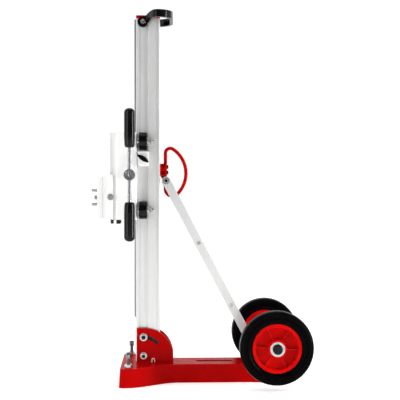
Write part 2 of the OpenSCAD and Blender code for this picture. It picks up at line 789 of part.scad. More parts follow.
module shaft_bushes() {
  // one bush for each stretch of the stepped shaft
  color("goldenrod") for (bush = [[-1, shaft_r], [1, neck_r]])
    mirror([0, bush[0] < 0 ? 1 : 0, 0]) difference() {
    union() {
      y_rod(bush_r, chamber_half, boss_face, feed_x, feed_z);
      y_rod(bush_r + 3, boss_face, boss_face + 2, feed_x, feed_z);
    }
    y_rod(bush[1] + run_gap, 0, boss_face + 3, feed_x, feed_z);
  }
}
module brake_block() {
  inner = column_half + 1;
  color("white") difference() {
    union() {
      translate([brake_front_x, -brake_out, brake_bottom])
        cube([brake_back_x - brake_front_x, brake_out - inner, brake_top - brake_bottom]);
      // tongue that fastens the block to the housing
      translate([-housing_back, -housing_half + 8, brake_bottom + 8])
        cube([brake_front_x + housing_back, 16, brake_top - brake_bottom - 16]);
    }
    y_rod(brake_screw_r + run_gap, -brake_out - over, -inner + over, brake_x, brake_z);
  }
}
module brake_pad() {
  color("black") y_rod(8, -column_half - 0.5, -channel_floor - slide_gap, brake_x, brake_z);
}
// Wing knob with its clamping screw
module lock_knob() {
  seat = brake_out + 0.5;
  lens_r = (pow(knob_len / 2, 2) + pow(knob_w / 2, 2)) / knob_w;
  color("black") translate([brake_x, 0, brake_z]) rotate([0, knob_turn, 0]) difference() {
    union() {
      intersection() {
        y_rod(lens_r, -seat - knob_t, -seat, 0, lens_r - knob_w / 2);
        y_rod(lens_r, -seat - knob_t, -seat, 0, knob_w / 2 - lens_r);
      }
    }
    y_rod(brake_screw_r, -seat - 8, -seat + over, 0, 0);
  }
  color("silver") y_rod(brake_screw_r, -seat - 8, -column_half - 0.8, brake_x, brake_z);
}
// Screws under the carriage, on washers: the front pair's washers stop the coupling plate
module stop_screws() {
  places = [[2.5 - plate_face, 8, 7], [2.5 - plate_face, -8, 7],
    [6 - housing_front, 25, 10], [6 - housing_front, -25, 10]];
  color("dimgray") for (p = places) {
    translate([p[0], p[1], housing_bottom - 2]) cylinder(h = 2, r = p[2] / 2 + 3.5);
    z_hex(p[2], housing_bottom - 12, housing_bottom - 2, p[0], p[1]);
  }
}

// ---------------------------------------------------------------- feed
module feed_shaft() {
  hub_in = crank_y - 15;
  color("silver") union() {
    y_rod(shaft_r, -hub_in - 6, -pinion_half, feed_x, feed_z);
    // neck that carries the pinion and runs in the far bush
    y_rod(neck_r, -pinion_half, boss_face + 7, feed_x, feed_z);
    // hexagon for a spanner at the far end
    y_hex(9, boss_face + 7, boss_face + 22, feed_x, feed_z);
  }
}
// Angle by which an involute has turned at a radius
base_circle = pitch_r * cos(pressure);
function roll(r) = let (t = sqrt(max(pow(r / base_circle, 2) - 1, 0))) t * 180 / PI - atan(t);
tooth_half = (90 - backlash / 2 / pitch_r * 90 / PI) / pinion_teeth;
module pinion() {
  tip = pitch_r + pinion_add;
  root = pitch_r - pinion_ded;
  radii = [for (i = [0:4]) base_circle + (tip - base_circle) * i / 4];
  flank = [for (r = radii) [r, tooth_half + roll(pitch_r) - roll(r)]];
  root_turn = flank[0][1];
  gear = [for (k = [0:pinion_teeth - 1]) let (a = k * 360 / pinion_teeth) each concat(
    [[root * cos(a - root_turn), root * sin(a - root_turn)]],
    [for (f = flank) [f[0] * cos(a - f[1]), f[0] * sin(a - f[1])]],
    [for (f = reversed(flank)) [f[0] * cos(a + f[1]), f[0] * sin(a + f[1])]],
    [[root * cos(a + root_turn), root * sin(a + root_turn)]])];
  color("dimgray") translate([feed_x, 0, feed_z]) difference() {
    y_slab(-pinion_half, pinion_half) polygon(gear);
    y_rod(neck_r + run_gap, -pinion_half - over, pinion_half + over, 0, 0);
  }
}
module crank_hub() {
  hub_in = crank_y - 15;
  color("silver") difference() {
    y_rod(15.5, -crank_y - 11, -hub_in, feed_x, feed_z);
    // open front, and the bores of the rod and the shaft
    y_rod(11.5, -crank_y - 11 - over, -crank_y, feed_x, feed_z);
    translate([feed_x, -crank_y, feed_z - 20]) cylinder(h = 40, r = rod_r + run_gap);
    y_rod(shaft_r + run_gap, -hub_in - 6.5, -hub_in + over, feed_x, feed_z);
  }
}
module crank_rod() {
  color("silver") translate([feed_x, -crank_y, feed_z - crank_reach + 15])
    cylinder(h = 2 * crank_reach - 30, r = rod_r);
}
// A grip points away from the shaft: a soft shoulder, a long barrel and a round end
module crank_grips() {
  start = crank_reach - grip_len;
  profile = concat([[rod_r + run_gap, start], [grip_r - 4, start]],
    arc(grip_r - 5, start + 8, 4, -60, 0, 3),
    [[grip_r, start + 30], [grip_r, crank_reach - grip_r + 3]],
    [for (a = [15:15:75]) [grip_r * cos(a), crank_reach - grip_r + 3 + (grip_r - 3) * sin(a)]],
    [[0, crank_reach], [0, crank_reach - 14.5], [rod_r + run_gap, crank_reach - 14.5]]);
  color("black") for (turn = [0, 180])
    translate([feed_x, -crank_y, feed_z]) rotate([0, turn, 0]) rotate_extrude($fn = 96) polygon(profile);
}
module shaft_ring() {
  color("dimgray") difference() {
    y_rod(neck_r + 5, boss_face + 2 + slide_gap, boss_face + 5.5, feed_x, feed_z);
    y_rod(neck_r + run_gap, boss_face, boss_face + 6.5, feed_x, feed_z);
  }
}

// ------------------------------------------------------- machine mount
module coupling_plate() {
  gap = slide_gap;
  color("silver") difference() {
    translate([-coupling_front, -coupling_half, coupling_bottom])
      cube([coupling_front - coupling_back, 2 * coupling_half, coupling_top - coupling_bottom]);
    // dovetail pocket, open at the top and the bottom
    translate([0, 0, coupling_bottom - over])
      linear_extrude(height = coupling_top - coupling_bottom + 2 * over)
      polygon([[-coupling_back + 2, -dove_neck + 1], [-coupling_back, -dove_neck - 2 * gap],
        [-plate_face - gap, -dove_wide - 2 * gap], [-plate_face - gap, dove_wide + 2 * gap],
        [-coupling_back, dove_neck + 2 * gap], [-coupling_back + 2, dove_neck - 1]]);
    y_rod(5 + run_gap, -coupling_half - over, -dove_neck, clamp_screw_x, clamp_screw_z);
    for (sy = [-1, 1]) for (sz = [-1, 1])
      x_rod(stud_r + run_gap, -coupling_front - over, -plate_face + over,
        sy * stud_gap_y / 2, stud_mid_z + sz * stud_gap_z / 2);
  }
}
module machine_plate() {
  height = machine_top - machine_bottom;
  color("silver") difference() {
    union() {
      translate([-spacer_front, -machine_half + layer_step, machine_bottom])
        cube([spacer_front - coupling_front, 2 * (machine_half - layer_step), height]);
      translate([-machine_front, -machine_half, machine_bottom + layer_step])
        cube([machine_front - spacer_front, 2 * machine_half, height - 2 * layer_step]);
    }
    for (sy = [-1, 1]) for (sz = [-1, 1])
      x_rod(stud_root_r + run_gap, -machine_front - over, -coupling_front + over,
        sy * stud_gap_y / 2, stud_mid_z + sz * stud_gap_z / 2);
    // wider mouths, clear of the exposed studs
    for (sy = [-1, 1]) for (sz = [-1, 1])
      x_rod(stud_r + run_gap, -machine_front - over, -machine_front + stud_mouth,
        sy * stud_gap_y / 2, stud_mid_z + sz * stud_gap_z / 2);
    // keyway across the face
    translate([-machine_front - over, -key_half, stud_mid_z - key_h / 2])
      cube([5 + over, 2 * key_half, key_h]);
  }
}
module machine_studs() {
  color("silver") for (sy = [-1, 1]) for (sz = [-1, 1])
    union() {
      x_rod(stud_r, -stud_tip, -machine_front, sy * stud_gap_y / 2, stud_mid_z + sz * stud_gap_z / 2);
      x_rod(stud_root_r, -machine_front - over, -plate_face - 1.5,
        sy * stud_gap_y / 2, stud_mid_z + sz * stud_gap_z / 2);
    }
}
module cross_key() {
  color("silver") translate([-key_tip, -key_half + run_gap, stud_mid_z - key_h / 2 + run_gap])
    cube([key_tip - machine_front + 5, 2 * (key_half - run_gap), key_h - 2 * run_gap]);
}
module coupling_screw() {
  color("silver") union() {
    y_rod(5, -coupling_half - slide_gap, -dove_wide - 1.5, clamp_screw_x, clamp_screw_z);
    y_rod(clamp_head_r, -coupling_half - slide_gap - 3, -coupling_half - slide_gap,
      clamp_screw_x, clamp_screw_z);
    y_hex(14, -coupling_half - slide_gap - 11, -coupling_half - slide_gap - 3, clamp_screw_x, clamp_screw_z);
  }
}

// --------------------------------------------------------------- strut
module clamp_block() {
  face = column_back + slide_gap;
  mid_z = (clamp_low_z + clamp_top_z) / 2;
  color("red") difference() {
    union() {
      translate([face, -clamp_half, clamp_low_z])
        cube([clamp_back_x - face, 2 * clamp_half, clamp_top_z - clamp_low_z]);
      y_slab(-lug_half, lug_half)
        polygon([[face, clamp_low_z + over], [face, clamp_low_z], [lug_front, strut_top_z + 6],
          [lug_front, strut_top_z - 5], [loop_bar_x - loop_r, strut_top_z - lug_drop],
          [clamp_back_x, strut_top_z - lug_drop], [clamp_back_x, clamp_low_z + over]]);
      y_rod(strut_half, -lug_half, lug_half, strut_top_x, strut_top_z);
    }
    y_rod(strut_pin_r + run_gap, -lug_half - over, lug_half + over, strut_top_x, strut_top_z);
    for (sz = [-1, 1]) {
      x_rod(3 + run_gap, face - over, clamp_back_x + over, 0, mid_z + sz * 8);
      both_sides() y_rod(3 + run_gap, 10, clamp_half + over, face + 10, mid_z + sz * 10);
    }
  }
}
module clamp_tnut() {
  head_x = column_back - tslot_lip - tslot_head_depth;
  mid_z = (clamp_low_z + clamp_top_z) / 2;
  color("dimgray") difference() {
    union() {
      translate([head_x + slide_gap, slide_gap - tslot_head_half, clamp_low_z])
        cube([tslot_head_depth - 2 * slide_gap, 2 * (tslot_head_half - slide_gap),
          clamp_top_z - clamp_low_z]);
      translate([head_x + tslot_head_depth - 2 * slide_gap, slide_gap - tslot_mouth_half, clamp_low_z])
        cube([tslot_lip + 3 * slide_gap, 2 * (tslot_mouth_half - slide_gap), clamp_top_z - clamp_low_z]);
    }
    for (sz = [-1, 1]) x_rod(3 + run_gap, head_x, column_back + over, 0, mid_z + sz * 8);
  }
}
module clamp_screws() {
  face = column_back + slide_gap;
  mid_z = (clamp_low_z + clamp_top_z) / 2;
  color("dimgray") for (sz = [-1, 1]) {
    x_rod(3, column_back - tslot_lip - 6, clamp_back_x, 0, mid_z + sz * 8);
    x_rod(5.5, clamp_back_x, clamp_back_x + 4, 0, mid_z + sz * 8);
    both_sides() {
      y_rod(3, 11, clamp_half, face + 10, mid_z + sz * 10);
      difference() {
        y_rod(5, clamp_half, clamp_half + 3, face + 10, mid_z + sz * 10);
        y_hex(4, clamp_half + 1, clamp_half + 3 + over, face + 10, mid_z + sz * 10);
      }
    }
  }
}
// Centre line of the loop's rod in X and Z, from the block's top round to its foot
loop_top_z = loop_mid_z + loop_rise(loop_top_r);
loop_low_z = loop_mid_z - loop_rise(loop_low_r);
loop_line = concat([[loop_bar_x, clamp_top_z]],
  arc(loop_bar_x + loop_top_r, loop_top_z, loop_top_r, 180, loop_angle(loop_top_r), 10),
  arc(loop_mid_x, loop_mid_z, loop_big_r, loop_angle(loop_top_r) - 5, 5 - loop_angle(loop_low_r), 18),
  arc(loop_bar_x + loop_low_r, loop_low_z, loop_low_r, -loop_angle(loop_low_r), -180, 12),
  [[loop_bar_x, strut_top_z - lug_drop]]);
// Ring of points round the line at one of its points, square to the line there
function loop_ring(i, sides) =
  let (last = len(loop_line) - 1, v = loop_line[min(i + 1, last)] - loop_line[max(i - 1, 0)], t = v / norm(v))
  [for (k = [0:sides - 1]) let (a = 360 * k / sides, d = loop_r * cos(a))
    [loop_line[i][0] - t[1] * d, loop_r * sin(a), loop_line[i][1] + t[0] * d]];
module loop_handle() {
  sides = 16;
  rings = len(loop_line);
  points = [for (i = [0:rings - 1]) each loop_ring(i, sides)];
  skin = [for (i = [0:rings - 2]) for (k = [0:sides - 1]) let (n = (k + 1) % sides)
    [i * sides + k, i * sides + n, (i + 1) * sides + n, (i + 1) * sides + k]];
  ends = [[for (k = [sides - 1:-1:0]) k], [for (k = [0:sides - 1]) (rings - 1) * sides + k]];
  color("red") polyhedron(points, concat(skin, ends), convexity = 4);
}
module strut_bolt() {
  color("silver") cross_bolt(strut_pin_r, 13, 10, strut_out, strut_top_x, strut_top_z, slide_gap);
}
module strut_bars() {
  color("gainsboro") translate([strut_top_x, 0, strut_top_z]) rotate([0, -strut_lean, 0])
    both_sides() difference() {
    union() {
      translate([-strut_half, strut_in, -strut_len]) cube([2 * strut_half, strut_t, strut_len]);
      for (z = [0, -strut_len]) y_rod(strut_half, strut_in, strut_out, 0, z);
    }
    for (z = [0, -strut_len]) y_rod(strut_pin_r + run_gap, strut_in - over, strut_out + over, 0, z);
    for (z = [-strut_len * 0.36, -strut_len * 0.72])
      y_rod(3 + run_gap, strut_in - over, strut_out + over, 0, z);
  }
}
module strut_spacers() {
  color("silver") translate([strut_top_x, 0, strut_top_z]) rotate([0, -strut_lean, 0])
    for (z = [-strut_len * 0.36, -strut_len * 0.72]) {
      y_rod(3, -strut_out, strut_out, 0, z);
      difference() {
        y_rod(7, -strut_in, strut_in, 0, z);
        y_rod(3, -strut_in - over, strut_in + over, 0, z);
      }
      both_sides() y_rod(5, strut_out, strut_out + 3, 0, z);
    }
}
module strut_foot_pin() {
  color("silver") cross_bolt(strut_pin_r, 13, 10, strut_out, strut_foot_x, strut_foot_z, 0);
}

// -------------------------------------------------------------- wheels
module tyre(side) {
  half = tyre_w / 2;
  bead = half - 5;
  color("black") translate([wheel_x, side * wheel_y, wheel_z]) rotate([-90, 0, 0])
    rotate_extrude($fn = 128) polygon(concat([[rim_r, -bead], [rim_r + 7, -bead]],
      [[rim_r + 12, -half]], arc(wheel_r - 12, 12 - half, 12, -90, -20, 4),
      [[wheel_r, -half / 3], [wheel_r, half / 3]], arc(wheel_r - 12, half - 12, 12, 20, 90, 4),
      [[rim_r + 12, half], [rim_r + 7, bead], [rim_r, bead]]));
}
module rim(side) {
  bead = tyre_w / 2 - 5;
  disc_half = 4;
  color("red") translate([wheel_x, side * wheel_y, wheel_z]) rotate([-90, 0, 0]) {
    difference() {
      union() {
        rotate_extrude($fn = 96) polygon([[bearing_r + run_gap, -hub_half], [hub_r, -hub_half],
          [hub_r + 2, -disc_half], [rim_r - 10, -disc_half], [rim_r - 8, -bead], [rim_r, -bead],
          [rim_r, bead], [rim_r - 8, bead], [rim_r - 10, disc_half], [hub_r + 2, disc_half],
          [hub_r, hub_half], [bearing_r + run_gap, hub_half]]);
        // spokes on both faces of the disc
        for (k = [0:5]) rotate([0, 0, 60 * k + 4])
          translate([hub_r, -spoke_t / 2, -12]) cube([rim_r - 7 - hub_r, spoke_t, 24]);
      }
      translate([0, 0, -hub_half - over]) cylinder(h = 2 * hub_half + 2 * over, r = bearing_r + run_gap);
    }
  }
}
module bearings(side) {
  color("silver") translate([wheel_x, side * wheel_y, wheel_z]) rotate([-90, 0, 0])
    for (z = [-hub_half, hub_half - bearing_w]) translate([0, 0, z]) difference() {
      cylinder(h = bearing_w, r = bearing_r);
      translate([0, 0, -over]) cylinder(h = bearing_w + 2 * over, r = stub_r + run_gap);
    }
}
module tyre_left() { tyre(-1); }
module rim_left() { rim(-1); }
module bearings_left() { bearings(-1); }
module tyre_right() { tyre(1); }
module rim_right() { rim(1); }
module bearings_right() { bearings(1); }

base_plate();
tilt_cheeks();
pivot_bolt();
strut_foot_lug();
axle_brackets();
stub_axles();
axle_caps();
levelling_nuts();
column_extrusion();
gear_rack();
rack_screws();
end_cap();
pivot_bush();
tilt_lock_bolt();
handle_spacers();
handle_screws();
carry_handle();
carriage_housing();
front_plate();
plate_screws();
roller_axles();
roller_nuts();
shaft_bushes();
brake_block();
brake_pad();
stop_screws();
roller_top_left();
roller_top_right();
roller_bottom_left();
roller_bottom_right();
feed_shaft();
pinion();
crank_hub();
crank_rod();
crank_grips();
shaft_ring();
lock_knob();
clamp_block();
clamp_tnut();
clamp_screws();
loop_handle();
strut_bolt();
strut_bars();
strut_spacers();
strut_foot_pin();
tyre_left();
rim_left();
bearings_left();
tyre_right();
rim_right();
bearings_right();
levelling_screw_front_left();
levelling_screw_front_right();
levelling_screw_rear_left();
levelling_screw_rear_right();
coupling_plate();
machine_plate();
machine_studs();
cross_key();
coupling_screw();
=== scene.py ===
"""Visual model of a wheeled core drill rig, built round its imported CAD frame.

The base stands on the floor, the rack column tilts between two cheeks, the carriage rolls on the
column and its crank turns the pinion. Lengths are in metres, in the frame of the CAD model.
"""

import json
import logging
import math
from dataclasses import dataclass, field
from enum import Enum
from typing import Any, Iterable, Sequence

import bmesh
import bpy
from mathutils import Matrix, Vector


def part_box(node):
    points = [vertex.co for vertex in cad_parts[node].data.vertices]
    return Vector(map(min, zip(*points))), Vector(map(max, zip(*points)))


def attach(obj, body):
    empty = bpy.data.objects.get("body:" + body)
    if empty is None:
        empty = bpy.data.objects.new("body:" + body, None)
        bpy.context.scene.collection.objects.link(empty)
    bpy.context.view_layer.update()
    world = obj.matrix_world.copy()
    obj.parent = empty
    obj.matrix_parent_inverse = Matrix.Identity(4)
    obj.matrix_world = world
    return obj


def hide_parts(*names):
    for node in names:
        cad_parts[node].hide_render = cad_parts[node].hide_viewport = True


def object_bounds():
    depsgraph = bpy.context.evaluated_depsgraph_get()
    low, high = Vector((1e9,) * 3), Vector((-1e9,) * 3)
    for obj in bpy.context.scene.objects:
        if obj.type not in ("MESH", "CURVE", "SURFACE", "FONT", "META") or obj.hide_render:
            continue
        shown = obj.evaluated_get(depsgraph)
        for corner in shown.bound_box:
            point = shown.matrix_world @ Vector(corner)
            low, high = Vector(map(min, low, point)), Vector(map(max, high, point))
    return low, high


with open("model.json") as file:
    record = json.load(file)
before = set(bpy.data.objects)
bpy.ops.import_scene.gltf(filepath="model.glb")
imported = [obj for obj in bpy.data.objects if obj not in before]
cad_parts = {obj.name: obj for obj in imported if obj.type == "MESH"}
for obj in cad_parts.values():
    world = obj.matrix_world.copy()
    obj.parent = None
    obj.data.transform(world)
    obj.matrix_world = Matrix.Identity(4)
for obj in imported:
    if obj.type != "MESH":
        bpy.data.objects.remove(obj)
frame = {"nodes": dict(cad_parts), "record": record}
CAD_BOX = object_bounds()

LOG = logging.getLogger("core_drill_rig")
MM = 0.001
FULL_TURN = 2 * math.pi
WELD_DISTANCE = 1e-6
FLAT_ANGLE = math.radians(0.6)
SHARP_ANGLE = math.radians(38)
CREASE_ANGLE = math.radians(28)
FLAT_GAP = 0.02 * MM

# wear and painted highlight run from 0 on whole faces to 1 on broken edges; inside bolt sockets the
# layer holds the value for painted shade
WEAR_AND_LIGHT_LAYER = "edge_wear_and_painted_light"
# layer value inside bolt sockets, and the near-black painted shade drawn there
SOCKET_SHADE_VALUE = -1.0
PAINTED_SOCKET_SHADE = (0.02, 0.02, 0.022)

BOLT_EDGE = 0.4 * MM
SOCKET_RIM = 2.6 * MM
SOCKET_WALL = 0.2
SOCKET_DEPTH = 3.0 * MM

# parts of a thread's pitch
THREAD_DEPTH = 0.6
THREAD_CHAMFER = 0.3
THREAD_FLAT = 0.12

# parts of a weld bead's radius, and its facets
BEAD_END = 0.45
BEAD_NECK = 0.84
BEAD_RIPPLE = 0.8
BEAD_SIDES = 10
BEAD_LEAST_RINGS = 6

Colour = tuple[float, float, float]
Profile = Sequence[tuple[float, float]]


class Axis(Enum):
    """One of the frame's three directions."""

    X = (1.0, 0.0, 0.0)
    Y = (0.0, 1.0, 0.0)
    Z = (0.0, 0.0, 1.0)

    @property
    def vector(self) -> Vector:
        """The direction as a unit vector."""
        return Vector(self.value)

    @property
    def across(self) -> Vector:
        """A unit vector square to the direction."""
        return Vector(self.value[1:] + self.value[:1])


# ------------------------------------------------------------------ finishes
class Graph:
    """The node tree of one material, with short ways to add what the finishes share."""

    def __init__(self, name: str) -> None:
        """Starts a material with a Principled shader and Object coordinates.

        Args:
            name: the material's name.
        """
        self.material = bpy.data.materials.new(name)
        self.material.use_nodes = True
        self.nodes = self.material.node_tree.nodes
        self.links = self.material.node_tree.links
        self.shader = self.nodes["Principled BSDF"]
        self.place = self.nodes.new("ShaderNodeTexCoord").outputs["Object"]

    def fixed(self, **values: Any) -> None:
        """Sets sockets of the shader that are the same all over.

        Args:
            values: socket names, with underscores for spaces, and their values.
        """
        for key, value in values.items():
            self.shader.inputs[key.replace("_", " ")].default_value = value

    def noise(self, scale: float, detail: float = 4.0,
              stretch: Sequence[float] = (1.0, 1.0, 1.0)) -> Any:
        """Adds a noise pattern.

        Args:
            scale: patches per metre.
            detail: octaves of finer noise.
            stretch: factor of the scale along X, Y and Z.

        Returns:
            The pattern's output, from 0 to 1.
        """
        mapping = self.nodes.new("ShaderNodeMapping")
        mapping.inputs["Scale"].default_value = stretch
        self.links.new(self.place, mapping.inputs["Vector"])
        node = self.nodes.new("ShaderNodeTexNoise")
        node.inputs["Scale"].default_value = scale
        node.inputs["Detail"].default_value = detail
        self.links.new(mapping.outputs["Vector"], node.inputs["Vector"])
        return node.outputs["Fac"]

    def spread(self, source: Any, low: float, high: float,
               start: float = 0.35, end: float = 0.65) -> Any:
        """Maps a pattern's middle range to other values.

        Args:
            source: the pattern's output.
            low: value at and below start.
            high: value at and above end.
            start: lower end of the range that is used.
            end: upper end of the range that is used.

        Returns:
            The mapped output.
        """
        node = self.nodes.new("ShaderNodeMapRange")
        for key, value in (("From Min", start), ("From Max", end),
                           ("To Min", low), ("To Max", high)):
            node.inputs[key].default_value = value
        self.links.new(source, node.inputs["Value"])
        return node.outputs["Result"]

    def times(self, first: Any, second: Any) -> Any:
        """Multiplies two outputs and returns the product."""
        node = self.nodes.new("ShaderNodeMath")
        node.operation = "MULTIPLY"
        self.links.new(first, node.inputs[0])
        self.links.new(second, node.inputs[1])
        return node.outputs["Value"]

    def blend(self, share: Any, first: Any, second: Any) -> Any:
        """Mixes two colours.

        Args:
            share: output that is 0 for the first colour and 1 for the second.
            first: a colour, or an output that carries one.
            second: a colour, or an output that carries one.

        Returns:
            The mixed colour's output.
        """
        node = self.nodes.new("ShaderNodeMix")
        node.data_type = "RGBA"
        self.links.new(share, node.inputs["Factor"])
        for socket, value in ((node.inputs[6], first), (node.inputs[7], second)):
            if isinstance(value, tuple):
                socket.default_value = (*value, 1.0)
            else:
                self.links.new(value, socket)
        return node.outputs[2]

    def wear_and_light(self) -> Any:
        """Returns the layer that holds edge wear with its painted highlight, and the painted shade
        in bolt sockets.
        """
        node = self.nodes.new("ShaderNodeAttribute")
        node.attribute_name = WEAR_AND_LIGHT_LAYER
        return node.outputs["Fac"]

    def relief(self, height: Any, strength: float, depth: float) -> None:
        """Raises the surface by a pattern.

        Args:
            height: the pattern's output.
            strength: share of the relief that shows.
            depth: height of the relief in metres.
        """
        node = self.nodes.new("ShaderNodeBump")
        node.inputs["Strength"].default_value = strength
        node.inputs["Distance"].default_value = depth
        self.links.new(height, node.inputs["Height"])
        self.links.new(node.outputs["Normal"], self.shader.inputs["Normal"])

    def drive(self, socket: str, source: Any) -> None:
        """Links an output to one of the shader's sockets."""
        self.links.new(source, self.shader.inputs[socket])


@dataclass(frozen=True)
class PowderCoat:
    """Sprayed paint with a faint orange peel, thinner and brighter along its edges, where worn
    paint and a painted highlight are drawn in the edge colour.
    """

    name: str
    colour: Colour
    shade: Colour
    edge: Colour
    roughness: float = 0.2
    roughness_spread: float = 0.12
    cloud_scale: float = 11.0
    rub_and_highlight_scale: float = 90.0
    gloss_scale: float = 35.0
    peel_scale: float = 520.0
    peel_strength: float = 0.1
    peel_depth: float = 0.15 * MM

    def build(self) -> bpy.types.Material:
        """Builds the material and returns it."""
        graph = Graph(self.name)
        graph.fixed(Specular_IOR_Level=0.012, Coat_Weight=0.03, Coat_Roughness=0.05)
        body = graph.blend(graph.spread(graph.noise(self.cloud_scale), 0.0, 1.0),
                           self.colour, self.shade)
        # edges are mixed towards the edge colour: worn paint and a painted highlight
        rub_and_highlight = graph.times(graph.wear_and_light(), graph.spread(graph.noise(self.rub_and_highlight_scale), 0.25, 0.9))
        graph.drive("Base Color", graph.blend(rub_and_highlight, body, self.edge))
        graph.drive("Roughness", graph.spread(graph.noise(self.gloss_scale), self.roughness,
                                              self.roughness + self.roughness_spread))
        graph.relief(graph.noise(self.peel_scale, 2.0), self.peel_strength, self.peel_depth)
        return graph.material


@dataclass(frozen=True)
class WorkedMetal:
    """Bare or plated metal with the grain that its last pass left along one axis."""

    name: str
    colour: Colour
    shade: Colour
    edge: Colour
    roughness: float
    grain: Axis | None = None
    grain_scale: float = 900.0
    grain_strength: float = 0.12
    metallic: float = 1.0
    roughness_spread: float = 0.12
    grain_stretch: float = 0.012
    grain_depth: float = 0.06 * MM
    cloud_scale: float = 24.0
    cloud_strength: float = 0.35
    rub_and_highlight_scale: float = 120.0

    def build(self) -> bpy.types.Material:
        """Builds the material and returns it."""
        graph = Graph(self.name)
        graph.fixed(Metallic=self.metallic)
        along = self.grain.value if self.grain else (0.0, 0.0, 0.0)
        stretch = tuple(self.grain_stretch if step else 1.0 for step in along)
        fine = graph.noise(self.grain_scale, 5.0, stretch)
        broad = graph.noise(self.cloud_scale, 3.0)
        tone = graph.blend(graph.spread(fine, 0.0, 0.8), self.colour, self.shade)
        tone = graph.blend(graph.spread(broad, 0.0, self.cloud_strength), tone, self.shade)
        # inside bolt sockets the colour is a near-black painted shade
        tone = graph.blend(graph.spread(graph.wear_and_light(), 1.0, 0.0, SOCKET_SHADE_VALUE, 0.0), tone, PAINTED_SOCKET_SHADE)
        # broken edges are mixed towards the edge colour, for wear and a painted highlight
        rub_and_highlight = graph.times(graph.wear_and_light(), graph.spread(graph.noise(self.rub_and_highlight_scale), 0.3, 0.9))
        graph.drive("Base Color", graph.blend(rub_and_highlight, tone, self.edge))
        graph.drive("Roughness", graph.spread(fine, self.roughness,
                                              self.roughness + self.roughness_spread))
        graph.relief(fine, self.grain_strength, self.grain_depth)
        return graph.material


@dataclass(frozen=True)
class Polymer:
    """Moulded plastic or rubber with a fine spark-eroded grain, and edges mixed towards a lighter
    colour for wear and a painted highlight.
    """

    name: str
    colour: Colour
    shade: Colour
    edge: Colour
    roughness: float
    grain_scale: float = 1500.0
    grain_strength: float = 0.15
    specular: float = 0.5
    roughness_spread: float = 0.14
    grain_depth: float = 0.08 * MM
    cloud_scale: float = 28.0
    rub_and_highlight_scale: float = 160.0
    gloss_scale: float = 60.0

    def build(self) -> bpy.types.Material:
        """Builds the material and returns it."""
        graph = Graph(self.name)
        graph.fixed(Specular_IOR_Level=self.specular)
        body = graph.blend(graph.spread(graph.noise(self.cloud_scale), 0.0, 1.0),
                           self.colour, self.shade)
        rub_and_highlight = graph.times(graph.wear_and_light(), graph.spread(graph.noise(self.rub_and_highlight_scale), 0.1, 0.8))
        graph.drive("Base Color", graph.blend(rub_and_highlight, body, self.edge))
        graph.drive("Roughness", graph.spread(graph.noise(self.gloss_scale), self.roughness,
                                              self.roughness + self.roughness_spread))
        graph.relief(graph.noise(self.grain_scale, 3.0), self.grain_strength, self.grain_depth)
        return graph.material


Finish = PowderCoat | WorkedMetal | Polymer

FINISHES: dict[str, Finish] = {
    # edge colour: pink for worn paint and a painted highlight on the edges
    "red_paint": PowderCoat("red_powder_coat", (0.46, 0.0005, 0.0004), (0.38, 0.0003, 0.0003),
                            (0.95, 0.13, 0.10)),
    # edge colour: pale pink for a painted highlight on the rib edges and inner lip, with some wear
    "red_rim": Polymer("red_moulded_rim", (0.68, 0.0012, 0.0010), (0.52, 0.0008, 0.0006),
                       (1.0, 0.32, 0.26), 0.16, 900.0, 0.03, 0.03),
    "column_aluminium": WorkedMetal("drawn_column_aluminium", (0.80, 0.81, 0.80),
                                    (0.70, 0.71, 0.70), (0.90, 0.90, 0.90), 0.3, Axis.Z, 700.0,
                                    0.1, 0.6),
    "carriage_aluminium": WorkedMetal("blasted_carriage_aluminium", (0.90, 0.90, 0.89),
                                      (0.84, 0.84, 0.83), (0.99, 0.99, 0.98), 0.4, None, 1400.0,
                                      0.12, 0.12),
    "zinc_steel": WorkedMetal("zinc_plated_steel", (0.60, 0.61, 0.60), (0.38, 0.39, 0.38),
                              (0.92, 0.92, 0.91), 0.2, None, 500.0, 0.2),
    "chrome_steel": WorkedMetal("polished_chrome", (0.80, 0.81, 0.84), (0.70, 0.71, 0.75),
                                (0.95, 0.95, 0.96), 0.06, Axis.Y, 1100.0, 0.04),
    "rack_steel": WorkedMetal("oiled_rack_steel", (0.26, 0.26, 0.27), (0.14, 0.14, 0.145),
                              (0.60, 0.60, 0.60), 0.3, Axis.Y, 900.0, 0.2),
    "black_steel": WorkedMetal("black_oxide_steel", (0.05, 0.05, 0.055), (0.03, 0.03, 0.032),
                               (0.28, 0.28, 0.29), 0.34, None, 1200.0, 0.18),
    "bronze": WorkedMetal("turned_bronze", (0.62, 0.40, 0.16), (0.46, 0.28, 0.10),
                          (0.85, 0.62, 0.32), 0.26, None, 800.0, 0.12),
    "black_plastic": Polymer("black_moulded_plastic", (0.0014, 0.0014, 0.0018),
                             (0.0009, 0.0009, 0.0011), (0.02, 0.02, 0.024), 0.12, 1500.0, 0.02,
                             0.2),
    "tyre_rubber": Polymer("black_tyre_rubber", (0.0010, 0.0010, 0.0013), (0.0015, 0.0015, 0.0018),
                           (0.05, 0.05, 0.05), 0.2, 1100.0, 0.05, 0.03),
}
# dark brown sheet that stands for shade and red reflection in the cheeks' slots
PAINTED_SLOT_SHADE = Polymer("painted_slot_shade_brown", (0.022, 0.012, 0.008), (0.012, 0.007, 0.005),
                          (0.05, 0.03, 0.02), 0.6, 1300.0, 0.3)
PAINTED_SCREW = PowderCoat("dark_red_screw_paint", (0.12, 0.002, 0.002), (0.05, 0.001, 0.001),
                           (0.3, 0.02, 0.02))
DARK_ZINC = WorkedMetal("dull_zinc_steel", (0.36, 0.36, 0.36), (0.07, 0.07, 0.07),
                        (0.90, 0.90, 0.89), 0.2, None, 260.0, 0.2)
# white edge colour for bright crests: wear and a painted highlight
THREADED_ROD = WorkedMetal("threaded_rod_steel", (0.30, 0.30, 0.31), (0.10, 0.10, 0.11),
                           (1.0, 1.0, 1.0), 0.14, None, 700.0, 0.05, 0.8)
